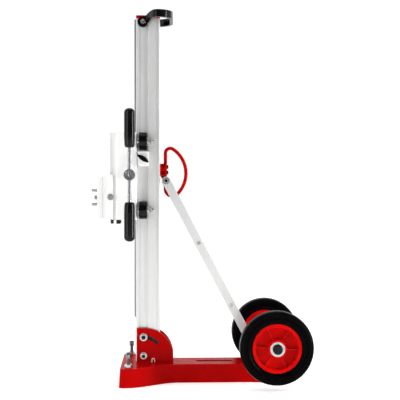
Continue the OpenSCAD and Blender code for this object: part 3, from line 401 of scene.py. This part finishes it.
# pale pink arch colour: a painted highlight
PAINTED_RIM_HIGHLIGHT = Polymer("painted_rim_highlight_pink", (0.86, 0.66, 0.58), (0.78, 0.56, 0.48), (0.85, 0.8, 0.78),
                    0.45)


class FinishShelf:
    """Keeps one built material for each finish."""

    def __init__(self) -> None:
        """Starts with no material built."""
        self.built: dict[str, bpy.types.Material] = {}

    def dress(self, piece: bpy.types.Object, finish: Finish) -> None:
        """Gives a piece a finish, building its material the first time.

        Args:
            piece: the object to dress.
            finish: the finish that it gets.
        """
        if finish.name not in self.built:
            self.built[finish.name] = finish.build()
        if not piece.data.materials:
            piece.data.materials.append(None)
        for place in range(len(piece.data.materials)):
            piece.data.materials[place] = self.built[finish.name]


# ------------------------------------------------------------------ shaping
def lathe(mesh: bmesh.types.BMesh, profile: Profile, axis: Axis, centre: Vector,
          steps: int = 64) -> None:
    """Turns a closed section round an axis.

    Args:
        mesh: the bmesh that gets the shape.
        profile: points of the section, each its place along the axis and its radius.
        axis: the direction of the axis.
        centre: a point on the axis, where places along it start.
        steps: facets round the axis.
    """
    corners = [mesh.verts.new(centre + axis.vector * along + axis.across * radius)
               for along, radius in profile]
    edges = [mesh.edges.new(pair) for pair in zip(corners, corners[1:] + corners[:1])]
    bmesh.ops.spin(mesh, geom=corners + edges, cent=centre, axis=axis.vector, dvec=(0.0, 0.0, 0.0),
                   angle=FULL_TURN, steps=steps, use_merge=True, use_duplicate=False)
    bmesh.ops.remove_doubles(mesh, verts=mesh.verts, dist=WELD_DISTANCE)
    bmesh.ops.dissolve_degenerate(mesh, edges=mesh.edges, dist=WELD_DISTANCE)


def thread_profile(start: float, end: float, crest: float,
                   pitch: float) -> list[tuple[float, float]]:
    """Draws the section of a threaded rod from its axis out.

    Args:
        start: place of the chamfered end along the axis.
        end: place of the plain end along the axis.
        crest: radius of the thread's crests.
        pitch: distance from crest to crest.

    Returns:
        The points, each a place along the axis and a radius.
    """
    sign = 1.0 if end > start else -1.0
    step = sign * pitch
    root = crest - THREAD_DEPTH * pitch
    turns = int(abs(end - start) / pitch)
    points = [(start, 0.0), (start, root - THREAD_CHAMFER * pitch)]
    for turn in range(turns):
        along = start + step * (turn + 0.5)
        points += [(along, crest), (along + THREAD_FLAT * step, crest)]
        if turn < turns - 1:
            points += [(along + 0.5 * step, root), (along + (0.5 + THREAD_FLAT) * step, root)]
    return points + [(end, crest), (end, 0.0)]


def weld_bead(mesh: bmesh.types.BMesh, start: Vector, end: Vector, radius: float) -> None:
    """Lays one rippled bead of weld along a straight joint.

    Args:
        mesh: the bmesh that gets the bead.
        start: one end of the joint.
        end: the other end of the joint.
        radius: radius of the bead.
    """
    run = end - start
    rings = max(BEAD_LEAST_RINGS, 2 * int(run.length / (BEAD_RIPPLE * radius)))
    turn = run.to_track_quat("Z", "Y").to_matrix().to_4x4()
    made = bmesh.ops.create_circle(mesh, cap_ends=True, segments=BEAD_SIDES,
                                   radius=BEAD_END * radius,
                                   matrix=Matrix.Translation(start) @ turn)
    ring = [edge for edge in mesh.edges if all(v in made["verts"] for v in edge.verts)]
    girth = BEAD_END
    for step in range(1, rings + 1):
        grown = bmesh.ops.extrude_edge_only(mesh, edges=ring)["geom"]
        ring = [item for item in grown if isinstance(item, bmesh.types.BMEdge)
                and not item.is_manifold and item.is_boundary]
        corners = list({corner for edge in ring for corner in edge.verts})
        bmesh.ops.translate(mesh, verts=corners, vec=run / rings)
        middle = start + run * (step / rings)
        wanted = BEAD_END if step == rings else (1.0 if step % 2 else BEAD_NECK)
        bmesh.ops.scale(mesh, verts=corners, vec=Vector.Fill(3, wanted / girth),
                        space=Matrix.Translation(-middle))
        girth = wanted
    bmesh.ops.edgeloop_fill(mesh, edges=ring)


class Workshop:
    """Makes pieces from CAD nodes and bmeshes, dresses them and puts them on their bodies."""

    def __init__(self, shelf: FinishShelf) -> None:
        """Reads each node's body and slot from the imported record.

        Args:
            shelf: where the finishes come from.
        """
        self.shelf = shelf
        self.slot_of = {row["node"]: row["material_slot"] for row in frame["record"]["subparts"]}
        bodies = frame["record"]["behaviour"]["bodies"]
        self.body_of = {node: body for body, nodes in bodies.items() for node in nodes}
        self.made: list[str] = []

    def adopt(self, name: str, mesh: bmesh.types.BMesh, node: str, stands_for: bool = True,
              finish: Finish | None = None,
              even: bool = True) -> bpy.types.Object:
        """Turns a bmesh into a finished piece on the body of a CAD node.

        Args:
            name: the piece's name.
            mesh: its shape, which is freed.
            node: the CAD node whose body and slot it takes.
            stands_for: whether it is shown in the node's place.
            finish: a finish other than the slot's.
            even: whether flat faces keep even shading beside rounded edges.

        Returns:
            The piece.
        """
        bmesh.ops.recalc_face_normals(mesh, faces=mesh.faces)
        data = bpy.data.meshes.new(name)
        mesh.to_mesh(data)
        mesh.free()
        data.shade_smooth()
        data.set_sharp_from_angle(angle=SHARP_ANGLE)
        piece = bpy.data.objects.new(name, data)
        bpy.context.scene.collection.objects.link(piece)
        if even:
            shading = piece.modifiers.new("even_shading", "WEIGHTED_NORMAL")
            shading.keep_sharp = True
        self.shelf.dress(piece, finish or FINISHES[self.slot_of[node]])
        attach(piece, self.body_of[node])
        if stands_for:
            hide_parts(node)
        self.made.append(name)
        LOG.info("piece %s: %d faces on %s", name, len(data.polygons), self.body_of[node])
        return piece

    def merged(self, node: str) -> bmesh.types.BMesh:
        """Copies a CAD node's mesh, with its loose triangles joined and flat faces made whole.

        Args:
            node: the CAD node's name.

        Returns:
            The copy.
        """
        mesh = bmesh.new()
        mesh.from_mesh(frame["nodes"][node].data)
        bmesh.ops.remove_doubles(mesh, verts=mesh.verts, dist=WELD_DISTANCE)
        bmesh.ops.dissolve_limit(mesh, angle_limit=FLAT_ANGLE, verts=mesh.verts, edges=mesh.edges)
        return mesh

    def rounded(self, node: str, radius: float, segments: int = 2,
                shape: bmesh.types.BMesh | None = None,
                finish: Finish | None = None) -> bpy.types.Object:
        """Shows a CAD node with its sharp edges broken, as machining or casting leaves them.

        Args:
            node: the CAD node's name.
            radius: width of the broken edge.
            segments: facets across the broken edge.
            shape: the node's merged mesh, where it was reshaped before.
            finish: a finish other than the slot's.

        Returns:
            The piece.
        """
        mesh = shape or self.merged(node)
        creases = [edge for edge in mesh.edges
                   if len(edge.link_faces) == 2 and edge.calc_face_angle(0.0) > CREASE_ANGLE]
        layers = mesh.verts.layers.float
        wear_and_light = layers.get(WEAR_AND_LIGHT_LAYER) or layers.new(WEAR_AND_LIGHT_LAYER)
        broken = bmesh.ops.bevel(mesh, geom=creases, offset=radius, offset_type="OFFSET",
                                 segments=segments, profile=0.5, affect="EDGES",
                                 clamp_overlap=True, material=-1)
        rims = set(broken["faces"])
        # corners inside sockets keep their painted shade; the rest are marked for wear and painted
        # highlight where all their faces are bevel rims
        for corner in broken["verts"]:
            if corner[wear_and_light] > 0.5 * SOCKET_SHADE_VALUE:
                corner[wear_and_light] = 1.0 if rims.issuperset(corner.link_faces) else 0.0
        return self.adopt(f"{node}_finished", mesh, node, finish=finish)

    def socketed(self, node: str, radius: float, rim: float, depth: float) -> bpy.types.Object:
        """Shows a bolt with its edges broken and a socket sunk into the end of each head, its
        inside darkened with painted shade.

        Args:
            node: the CAD node's name.
            radius: width of the broken edge.
            rim: width of the ring left round each socket.
            depth: depth of each socket.

        Returns:
            The piece.
        """
        mesh = self.merged(node)
        places = [corner.co.y for corner in mesh.verts]
        ends = [face for face in mesh.faces
                if any(all(abs(corner.co.y - end) < FLAT_GAP for corner in face.verts)
                       for end in (min(places), max(places)))]
        for inset in (rim, SOCKET_WALL * rim):
            bmesh.ops.inset_individual(mesh, faces=ends, thickness=inset, depth=0.0,
                                       use_even_offset=True)
        wear_and_light = mesh.verts.layers.float.new(WEAR_AND_LIGHT_LAYER)
        # each socket face is sunk and marked for painted shade
        for face in ends:
            bmesh.ops.translate(mesh, verts=face.verts, vec=-depth * face.normal)
            for corner in face.verts:
                corner[wear_and_light] = SOCKET_SHADE_VALUE
        return self.rounded(node, radius, shape=mesh)

    def plain(self, node: str) -> None:
        """Dresses a CAD node whose own shape is shown."""
        self.shelf.dress(frame["nodes"][node], FINISHES[self.slot_of[node]])
        LOG.info("node %s keeps its own shape", node)


@dataclass
class Assembly:
    """A group of nodes: edges gives the width of each one's broken edges, kept the nodes that
    are shown as they are, and sockets the bolts whose heads are hollowed."""

    shop: Workshop
    edges: dict[str, float] = field(default_factory=dict)
    kept: tuple[str, ...] = ()
    sockets: tuple[str, ...] = ()

    def build(self) -> None:
        """Makes the group's pieces, dresses the nodes that are kept and adds the details."""
        for node, radius in self.edges.items():
            self.shop.rounded(node, radius)
        for node in self.kept:
            self.shop.plain(node)
        for node in self.sockets:
            self.shop.socketed(node, BOLT_EDGE, SOCKET_RIM, SOCKET_DEPTH)
        self.details()

    def details(self) -> None:
        """Adds what the group has beyond its nodes."""


# ------------------------------------------------------------------ base
@dataclass
class Base(Assembly):
    """The cast base with its cheeks, brackets, welds and levelling screws."""

    cast_radius: float = 2.4 * MM
    draft: float = 3.0 * MM
    draft_reach: float = 16.0 * MM
    bead_radius: float = 2.3 * MM
    mark_place: Vector = field(default_factory=lambda: Vector((27.4 * MM, -29.5 * MM, 60.4 * MM)))
    mark_size: float = 5.4 * MM
    mark_stroke: float = 2.9 * MM
    mark_relief: float = 0.3 * MM
    mark_leg: float = 9.0 * MM
    mark_facets: int = 40
    thread_pitch: float = 1.5 * MM
    screw_radius: float = 5.0 * MM
    head_height: float = 14.5 * MM
    head_flats: float = 13.0 * MM
    head_chamfer: float = 0.9 * MM
    screw_facets: int = 32

    def build(self) -> None:
        """Rounds the casting more than the machined pieces, then builds the rest."""
        self.casting()
        super().build()

    def casting(self) -> None:
        """Gives the casting the draft of its front end, then rounds its edges."""
        low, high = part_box("base_plate")
        mesh = self.shop.merged("base_plate")
        nose = [corner for corner in mesh.verts
                if corner.co.x < low.x + self.draft_reach and corner.co.z > high.z - MM]
        bmesh.ops.translate(mesh, verts=nose, vec=(self.draft, 0.0, 0.0))
        self.shop.rounded("base_plate", self.cast_radius, 3, mesh)

    def details(self) -> None:
        """Adds the welds, the pale highlight arch and the levelling screws."""
        self.welds()
        self.highlight_arch()
        for place in ("front_left", "front_right", "rear_left", "rear_right"):
            self.levelling_screw(f"levelling_screw_{place}")

    def welds(self) -> None:
        """Lays the beads that join the cheeks, the lug and the axle brackets to the base."""
        mesh = bmesh.new()
        for node, inset in (("tilt_cheeks", 2.0 * MM), ("strut_foot_lug", 3.0 * MM),
                            ("axle_brackets", 1.0 * MM)):
            low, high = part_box(node)
            for side in (low.y, high.y):
                weld_bead(mesh, Vector((low.x + inset, side, low.z)),
                          Vector((high.x - inset, side, low.z)), self.bead_radius)
        self.shop.adopt("base_weld_beads", mesh, "base_plate", stands_for=False, even=False)

    def highlight_arch(self) -> None:
        """Adds a raised arch on the near cheek whose pale pink colour is a painted highlight, the
        light caught on the rim of a small hole.
        """
        mesh = bmesh.new()
        outer = self.mark_size
        inner = outer - self.mark_stroke
        lathe(mesh, [(0.0, inner), (-self.mark_relief, inner), (-self.mark_relief, outer),
                     (0.0, outer)], Axis.Y, self.mark_place, self.mark_facets)
        lower = [corner for corner in mesh.verts
                 if corner.co.z < self.mark_place.z - FLAT_GAP / 2]
        bmesh.ops.translate(mesh, verts=lower, vec=(0.0, 0.0, -self.mark_leg))
        self.shop.adopt("cheek_highlight_arch", mesh, "tilt_cheeks", stands_for=False,
                        finish=PAINTED_RIM_HIGHLIGHT, even=False)

    def levelling_screw(self, node: str) -> None:
        """Builds one threaded levelling screw with its chamfered hexagon head.

        Args:
            node: the CAD node that it stands for.
        """
        low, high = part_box(node)
        middle = (low + high) / 2
        foot = Vector((middle.x, middle.y, low.z))
        shank = high.z - low.z - self.head_height
        mesh = bmesh.new()
        lathe(mesh, thread_profile(0.0, shank + MM, self.screw_radius, self.thread_pitch), Axis.Z,
              foot, self.screw_facets)
        head = bmesh.new()
        reach = self.head_flats / math.sqrt(3.0)
        place = Matrix.Translation((middle.x, middle.y, high.z - self.head_height / 2))
        bmesh.ops.create_cone(head, cap_ends=True, segments=6, radius1=reach, radius2=reach,
                              depth=self.head_height,
                              matrix=place @ Matrix.Rotation(math.pi / 6, 4, "Z"))
        rims = [edge for edge in head.edges if abs(edge.verts[0].co.z - edge.verts[1].co.z) < MM]
        bmesh.ops.bevel(head, geom=rims, offset=self.head_chamfer, offset_type="OFFSET", segments=2,
                        profile=0.5, affect="EDGES", clamp_overlap=True, material=-1)
        data = bpy.data.meshes.new("hexagon_head")
        head.to_mesh(data)
        head.free()
        mesh.from_mesh(data)
        bpy.data.meshes.remove(data)
        self.shop.adopt(f"{node}_threaded", mesh, node, finish=DARK_ZINC, even=False)


# ------------------------------------------------------------------ column
@dataclass
class Column(Assembly):
    """The rack column with its cap, handle and the thin dark sheets of painted shade on its foot.
    """

    shade_sheet_low: float = 85.0 * MM
    shade_sheet_high: float = 132.0 * MM
    shade_sheet_inset: float = 2.0 * MM
    shade_sheet_thickness: float = 0.35 * MM
    shade_sheet_corner: float = 4.0 * MM

    def details(self) -> None:
        """Puts a thin dark brown sheet on each side of the foot, behind the cheeks: painted shade
        and red reflection where the cheeks' slots show the column.
        """
        low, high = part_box("column_extrusion")
        mesh = bmesh.new()
        for side in (-1.0, 1.0):
            place = Vector(((low.x + high.x) / 2, side * (high.y + self.shade_sheet_thickness / 2),
                            (self.shade_sheet_low + self.shade_sheet_high) / 2))
            size = Vector((high.x - low.x - 2 * self.shade_sheet_inset, self.shade_sheet_thickness,
                           self.shade_sheet_high - self.shade_sheet_low))
            bmesh.ops.create_cube(mesh, size=1.0, matrix=Matrix.LocRotScale(place, None, size))
        corners = [edge for edge in mesh.edges
                   if abs(edge.verts[0].co.y - edge.verts[1].co.y) > self.shade_sheet_thickness / 2]
        bmesh.ops.bevel(mesh, geom=corners, offset=self.shade_sheet_corner, offset_type="OFFSET",
                        segments=4, profile=0.5, affect="EDGES", clamp_overlap=True, material=-1)
        self.shop.adopt("foot_painted_shade_sheets", mesh, "column_extrusion", stands_for=False,
                        finish=PAINTED_SLOT_SHADE, even=False)


# ------------------------------------------------------------------ crank
@dataclass
class Crank(Assembly):
    """The feed shaft and its two-ended crank."""

    grip_radius: float = 15.0 * MM
    bore_radius: float = 6.55 * MM
    grip_length: float = 108.0 * MM
    bore_end: float = 14.5 * MM
    ring_gap: float = 7.0 * MM
    ring_depth: float = 0.45 * MM
    ring_width: float = 0.8 * MM
    ring_start: float = 28.0 * MM
    ring_end: float = 8.0 * MM
    mouth: Profile = ((0.0, 4.6), (0.7, 3.5), (3.0, 2.2), (4.3, 1.75), (5.6, 1.3), (6.9, 0.85),
                      (22.0, 0.25))
    dome_lift: float = 3.0 * MM
    dome_turn: float = 12.0
    grip_facets: int = 64
    rod_pitch: float = 5.2 * MM
    rod_depth: float = 1.9 * MM
    rod_turn: Profile = ((0.2, 0.0), (0.4, 1.0), (0.6, 1.0), (0.8, 0.0))
    rod_facets: int = 32

    def rod_section(self, half: float, crest: float) -> list[tuple[float, float]]:
        """Draws the coarse thread of the crank rod from end to end.

        Args:
            half: half of the rod's length.
            crest: radius of the thread's crests.

        Returns:
            The points, each a distance from the shaft and a radius.
        """
        root = crest - self.rod_depth
        turns = int(2 * half / self.rod_pitch)
        pitch = 2 * half / turns
        points = [(-half, 0.0), (-half, root)]
        for turn in range(turns):
            along = -half + turn * pitch
            points += [(along + share * pitch, root + rise * self.rod_depth)
                       for share, rise in self.rod_turn]
        return points + [(half, root), (half, 0.0)]

    def section(self, reach: float) -> list[tuple[float, float]]:
        """Draws a grip's section from its inner end out.

        Args:
            reach: distance from the shaft to the grip's outer end.

        Returns:
            The points, each a distance from the shaft and a radius.
        """
        start = reach - self.grip_length
        full = self.grip_radius
        points = [(start, self.bore_radius)]
        points += [(start + along * MM, full - drop * MM) for along, drop in self.mouth]
        along = start + self.ring_start
        last = reach - full - self.ring_end
        while along < last:
            points += [(along, full), (along + self.ring_width * 0.3, full - self.ring_depth),
                       (along + self.ring_width * 0.7, full - self.ring_depth),
                       (along + self.ring_width, full)]
            along += self.ring_gap
        base = reach - full + self.dome_lift
        dome = full - self.dome_lift
        points += [(base, full)]
        points += [(base + dome * math.sin(angle), full * math.cos(angle))
                   for angle in (math.radians(self.dome_turn * step) for step in range(1, 8))]
        inner = reach - self.bore_end
        return points + [(reach, 0.0), (inner, 0.0), (inner, self.bore_radius)]

    def details(self) -> None:
        """Turns the rod and the two grips."""
        self.rod()
        self.grips()

    def rod(self) -> None:
        """Cuts the rod's coarse thread, with its crests marked bright for wear and a painted
        highlight.
        """
        low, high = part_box("crank_rod")
        centre = (low + high) / 2
        crest = (high.x - low.x) / 2
        mesh = bmesh.new()
        lathe(mesh, self.rod_section((high.z - low.z) / 2, crest), Axis.Z, centre, self.rod_facets)
        # thread crests are marked for the white edge colour: wear and a painted highlight
        wear_and_light = mesh.verts.layers.float.new(WEAR_AND_LIGHT_LAYER)
        for corner in mesh.verts:
            radius = math.hypot(corner.co.x - centre.x, corner.co.y - centre.y)
            corner[wear_and_light] = float(radius > crest - FLAT_GAP)
        self.shop.adopt("crank_rod_threaded", mesh, "crank_rod", finish=THREADED_ROD, even=False)

    def grips(self) -> None:
        """Turns the two grips, one the mirror of the other."""
        low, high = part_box("crank_grips")
        section = self.section((high.z - low.z) / 2)
        mesh = bmesh.new()
        for sign in (1.0, -1.0):
            lathe(mesh, [(sign * along, radius) for along, radius in section], Axis.Z,
                  (low + high) / 2, self.grip_facets)
        self.shop.adopt("crank_grips_turned", mesh, "crank_grips", even=False)


# ------------------------------------------------------------------ clamp
@dataclass
class StrutClamp(Assembly):
    """The clamp that slides on the column's rear slot, with its loop handle."""

    def details(self) -> None:
        """Smooths the bent rod of the loop handle and paints over the clamp's screws."""
        self.shop.rounded("clamp_screws", BOLT_EDGE, finish=PAINTED_SCREW)
        mesh = bmesh.new()
        mesh.from_mesh(frame["nodes"]["loop_handle"].data)
        bmesh.ops.remove_doubles(mesh, verts=mesh.verts, dist=WELD_DISTANCE)
        self.shop.adopt("loop_handle_bent", mesh, "loop_handle", even=False)


# ------------------------------------------------------------------ wheels
@dataclass
class Wheels(Assembly):
    """Two solid rubber tyres on ribbed rims."""

    seat_radius: float = 66.0 * MM
    bead: Profile = ((5.0, 0.0), (5.0, 5.6), (4.2, 6.8), (2.2, 7.8))
    wall_start: float = 10.5 * MM
    wall_ribs: int = 3
    wall_rib_start: float = 11.2 * MM
    wall_pitch: float = 3.2 * MM
    wall_relief: float = 0.9 * MM
    wall_rib: Profile = ((0.0, 1.0), (0.25, 0.0), (0.6, 0.0), (0.85, 1.0))
    shoulder: float = 12.0 * MM
    shoulder_turn: float = math.radians(78.0)
    shoulder_steps: int = 10
    shoulder_relief: float = 0.7 * MM
    shoulder_rib_turn: float = 0.03
    tread_grooves: int = 4
    groove_pitch: float = 7.0 * MM
    groove_width: float = 2.2 * MM
    groove_depth: float = 1.6 * MM
    groove_draft: float = 0.3 * MM
    facets: int = 128

    def half_section(self, half: float, outer: float) -> list[tuple[float, float]]:
        """Draws a tyre's section from its bead to the middle of its tread.

        Args:
            half: half of the tyre's width.
            outer: the tyre's outer radius.

        Returns:
            The points, each a distance from the tyre's mid-plane and a radius.
        """
        seat = self.seat_radius
        points = [(half - depth * MM, seat + height * MM) for depth, height in self.bead]
        points += [(half - self.wall_relief, seat + self.wall_start)]
        for rib in range(self.wall_ribs):
            at = seat + self.wall_rib_start + rib * self.wall_pitch
            points += [(half - depth * self.wall_relief, at + share * self.wall_pitch)
                       for share, depth in self.wall_rib]
        bend = self.shoulder
        for step in range(1, self.shoulder_steps):
            angle = self.shoulder_turn * step / self.shoulder_steps
            swell = bend - (self.shoulder_relief if step % 2 else 0.0)
            points += [(half - bend + swell * math.cos(turn), outer - bend + swell * math.sin(turn))
                       for turn in (angle - self.shoulder_rib_turn, angle + self.shoulder_rib_turn)]
        for groove in range(self.tread_grooves // 2, 0, -1):
            middle = (groove - 0.5) * self.groove_pitch
            near, far = middle - self.groove_width / 2, middle + self.groove_width / 2
            points += [(far, outer), (far - self.groove_draft, outer - self.groove_depth),
                       (near + self.groove_draft, outer - self.groove_depth), (near, outer)]
        return points

    def details(self) -> None:
        """Turns both tyres."""
        for side in ("left", "right"):
            node = f"tyre_{side}"
            low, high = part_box(node)
            half_wall = self.half_section((high.y - low.y) / 2, (high.x - low.x) / 2)
            section = half_wall + [(-along, radius) for along, radius in reversed(half_wall)]
            mesh = bmesh.new()
            lathe(mesh, section, Axis.Y, (low + high) / 2, self.facets)
            self.shop.adopt(f"{node}_moulded", mesh, node, even=False)


# ------------------------------------------------------------------ studio
@dataclass
class Studio:
    """The pale floor, the soft light and the camera."""

    eye: Vector = field(default_factory=lambda: Vector((0.0775, -2.5, 0.5128)))
    yaw: float = math.radians(-1.904)
    lens: float = 78.5
    sensor: float = 36.0
    floor_half: float = 30.0
    floor_drop: float = 0.4 * MM
    floor_glow: float = 0.42
    sky_behind: tuple[float, float] = (-0.55, 0.14)
    sky_ahead: tuple[float, float] = (0.1, 1.04)

    def build(self) -> None:
        """Builds the whole studio."""
        self.floor()
        self.sky()
        self.lamp("key_softbox", (-1.5, -1.9, 2.1), (0.05, 0.0, 0.5), (1.0, 1.0), 10.0)
        self.lamp("left_strip", (-1.7, -1.5, 0.7), (0.0, 0.0, 0.5), (0.4, 1.6), 17.0)
        self.lamp("right_strip", (2.3, -0.9, 0.7), (0.2, 0.0, 0.4), (0.3, 1.6), 44.0)
        self.lamp("top_softbox", (0.4, 0.2, 2.6), (0.15, 0.0, 0.2), (1.4, 1.4), 9.0)
        self.lamp("rear_softbox", (1.8, 1.9, 1.5), (0.1, 0.0, 0.5), (1.1, 1.1), 7.0)
        self.camera()
        bpy.context.scene.view_settings.view_transform = "Standard"

    def floor(self) -> None:
        """Lays a pale plain floor under the base."""
        mesh = bmesh.new()
        bmesh.ops.create_grid(mesh, x_segments=1, y_segments=1, size=self.floor_half,
                              matrix=Matrix.Translation((0.0, 0.0, CAD_BOX[0].z - self.floor_drop)))
        data = bpy.data.meshes.new("studio_floor")
        mesh.to_mesh(data)
        mesh.free()
        floor = bpy.data.objects.new("studio_floor", data)
        bpy.context.scene.collection.objects.link(floor)
        graph = Graph("pale_floor")
        graph.fixed(Roughness=0.9, Specular_IOR_Level=0.1, Emission_Strength=self.floor_glow,
                    Emission_Color=(1.0, 1.0, 1.0, 1.0))
        graph.drive("Base Color", graph.blend(graph.spread(graph.noise(3.0), 0.0, 1.0),
                                              (0.93, 0.93, 0.93), (0.9, 0.9, 0.9)))
        data.materials.append(graph.material)

    def sky(self) -> None:
        """Sets a white surround that is greyer behind the camera."""
        world = bpy.data.worlds.new("studio_white")
        bpy.context.scene.world = world
        world.use_nodes = True
        nodes, links = world.node_tree.nodes, world.node_tree.links
        place = nodes.new("ShaderNodeTexCoord")
        split = nodes.new("ShaderNodeSeparateXYZ")
        ramp = nodes.new("ShaderNodeMapRange")
        for row, (turn, strength) in (("Min", self.sky_behind), ("Max", self.sky_ahead)):
            ramp.inputs[f"From {row}"].default_value = turn
            ramp.inputs[f"To {row}"].default_value = strength
        links.new(place.outputs["Generated"], split.inputs["Vector"])
        links.new(split.outputs["Y"], ramp.inputs["Value"])
        links.new(ramp.outputs["Result"], nodes["Background"].inputs["Strength"])
        nodes["Background"].inputs["Color"].default_value = (1.0, 1.0, 1.0, 1.0)

    def lamp(self, name: str, place: Sequence[float], target: Sequence[float],
             size: tuple[float, float], power: float) -> None:
        """Hangs one softbox.

        Args:
            name: the light's name.
            place: where it hangs.
            target: the point it faces.
            size: its width and height.
            power: its power in watts.
        """
        light = bpy.data.lights.new(name, "AREA")
        light.shape = "RECTANGLE"
        light.size, light.size_y = size
        light.energy = power
        lamp = bpy.data.objects.new(name, light)
        lamp.location = place
        aim = Vector(target) - Vector(place)
        lamp.rotation_euler = aim.to_track_quat("-Z", "Y").to_euler()
        bpy.context.scene.collection.objects.link(lamp)

    def camera(self) -> None:
        """Sets up the camera, level and square to the column."""
        data = bpy.data.cameras.new("studio_camera")
        data.lens = self.lens
        data.sensor_width = self.sensor
        data.clip_start = 0.05
        data.clip_end = 100.0
        camera = bpy.data.objects.new("studio_camera", data)
        camera.location = self.eye
        camera.rotation_euler = (math.pi / 2, 0.0, self.yaw)
        bpy.context.scene.collection.objects.link(camera)
        bpy.context.scene.camera = camera


def assemblies(shop: Workshop) -> Iterable[Assembly]:
    """Lists the rig's sub-assemblies with the widths of their broken edges.

    Args:
        shop: the workshop that makes their pieces.

    Returns:
        The sub-assemblies in building order.
    """
    small_screw, fastener, key = 0.3 * MM, 0.4 * MM, 0.5 * MM
    plate, machined, moulded, rim = 0.8 * MM, 0.9 * MM, 1.2 * MM, 1.3 * MM
    rollers = [f"roller_{row}_{side}" for row in ("top", "bottom") for side in ("left", "right")]
    return (
        Base(shop, {"tilt_cheeks": plate, "strut_foot_lug": plate, "axle_brackets": machined,
                    "stub_axles": fastener, "axle_caps": moulded, "levelling_nuts": fastener},
             sockets=("pivot_bolt",)),
        Column(shop, {"column_extrusion": 0.35 * MM, "rack_screws": 0.25 * MM, "end_cap": moulded,
                      "handle_spacers": fastener, "handle_screws": fastener,
                      "carry_handle": 2.0 * MM},
               kept=("gear_rack", "pivot_bush"), sockets=("tilt_lock_bolt",)),
        Assembly(shop, {"carriage_housing": machined, "front_plate": machined,
                        "plate_screws": small_screw, "roller_axles": fastener,
                        "roller_nuts": fastener, "shaft_bushes": fastener,
                        "brake_block": 1.1 * MM, "stop_screws": small_screw,
                        "lock_knob": plate} | {node: key for node in rollers},
                 kept=("brake_pad",)),
        Crank(shop, {"feed_shaft": fastener, "crank_hub": machined,
                     "shaft_ring": fastener}, kept=("pinion",)),
        StrutClamp(shop, {"clamp_block": machined}, kept=("clamp_tnut",), sockets=("strut_bolt",)),
        Assembly(shop, {"strut_bars": plate, "strut_spacers": fastener,
                        "strut_foot_pin": fastener}),
        Wheels(shop, {"rim_left": rim, "rim_right": rim, "bearings_left": fastener,
                      "bearings_right": fastener}),
        Assembly(shop, {"coupling_plate": machined, "machine_plate": machined,
                        "machine_studs": small_screw, "cross_key": key,
                        "coupling_screw": fastener}),
    )


def main() -> None:
    """Builds the studio and every sub-assembly."""
    logging.basicConfig(level=logging.INFO, format="%(name)s: %(message)s")
    Studio().build()
    shop = Workshop(FinishShelf())
    for assembly in assemblies(shop):
        assembly.build()
        LOG.info("built %s", type(assembly).__name__)
    LOG.info("%d new pieces", len(shop.made))


if __name__ == "__main__":
    main()
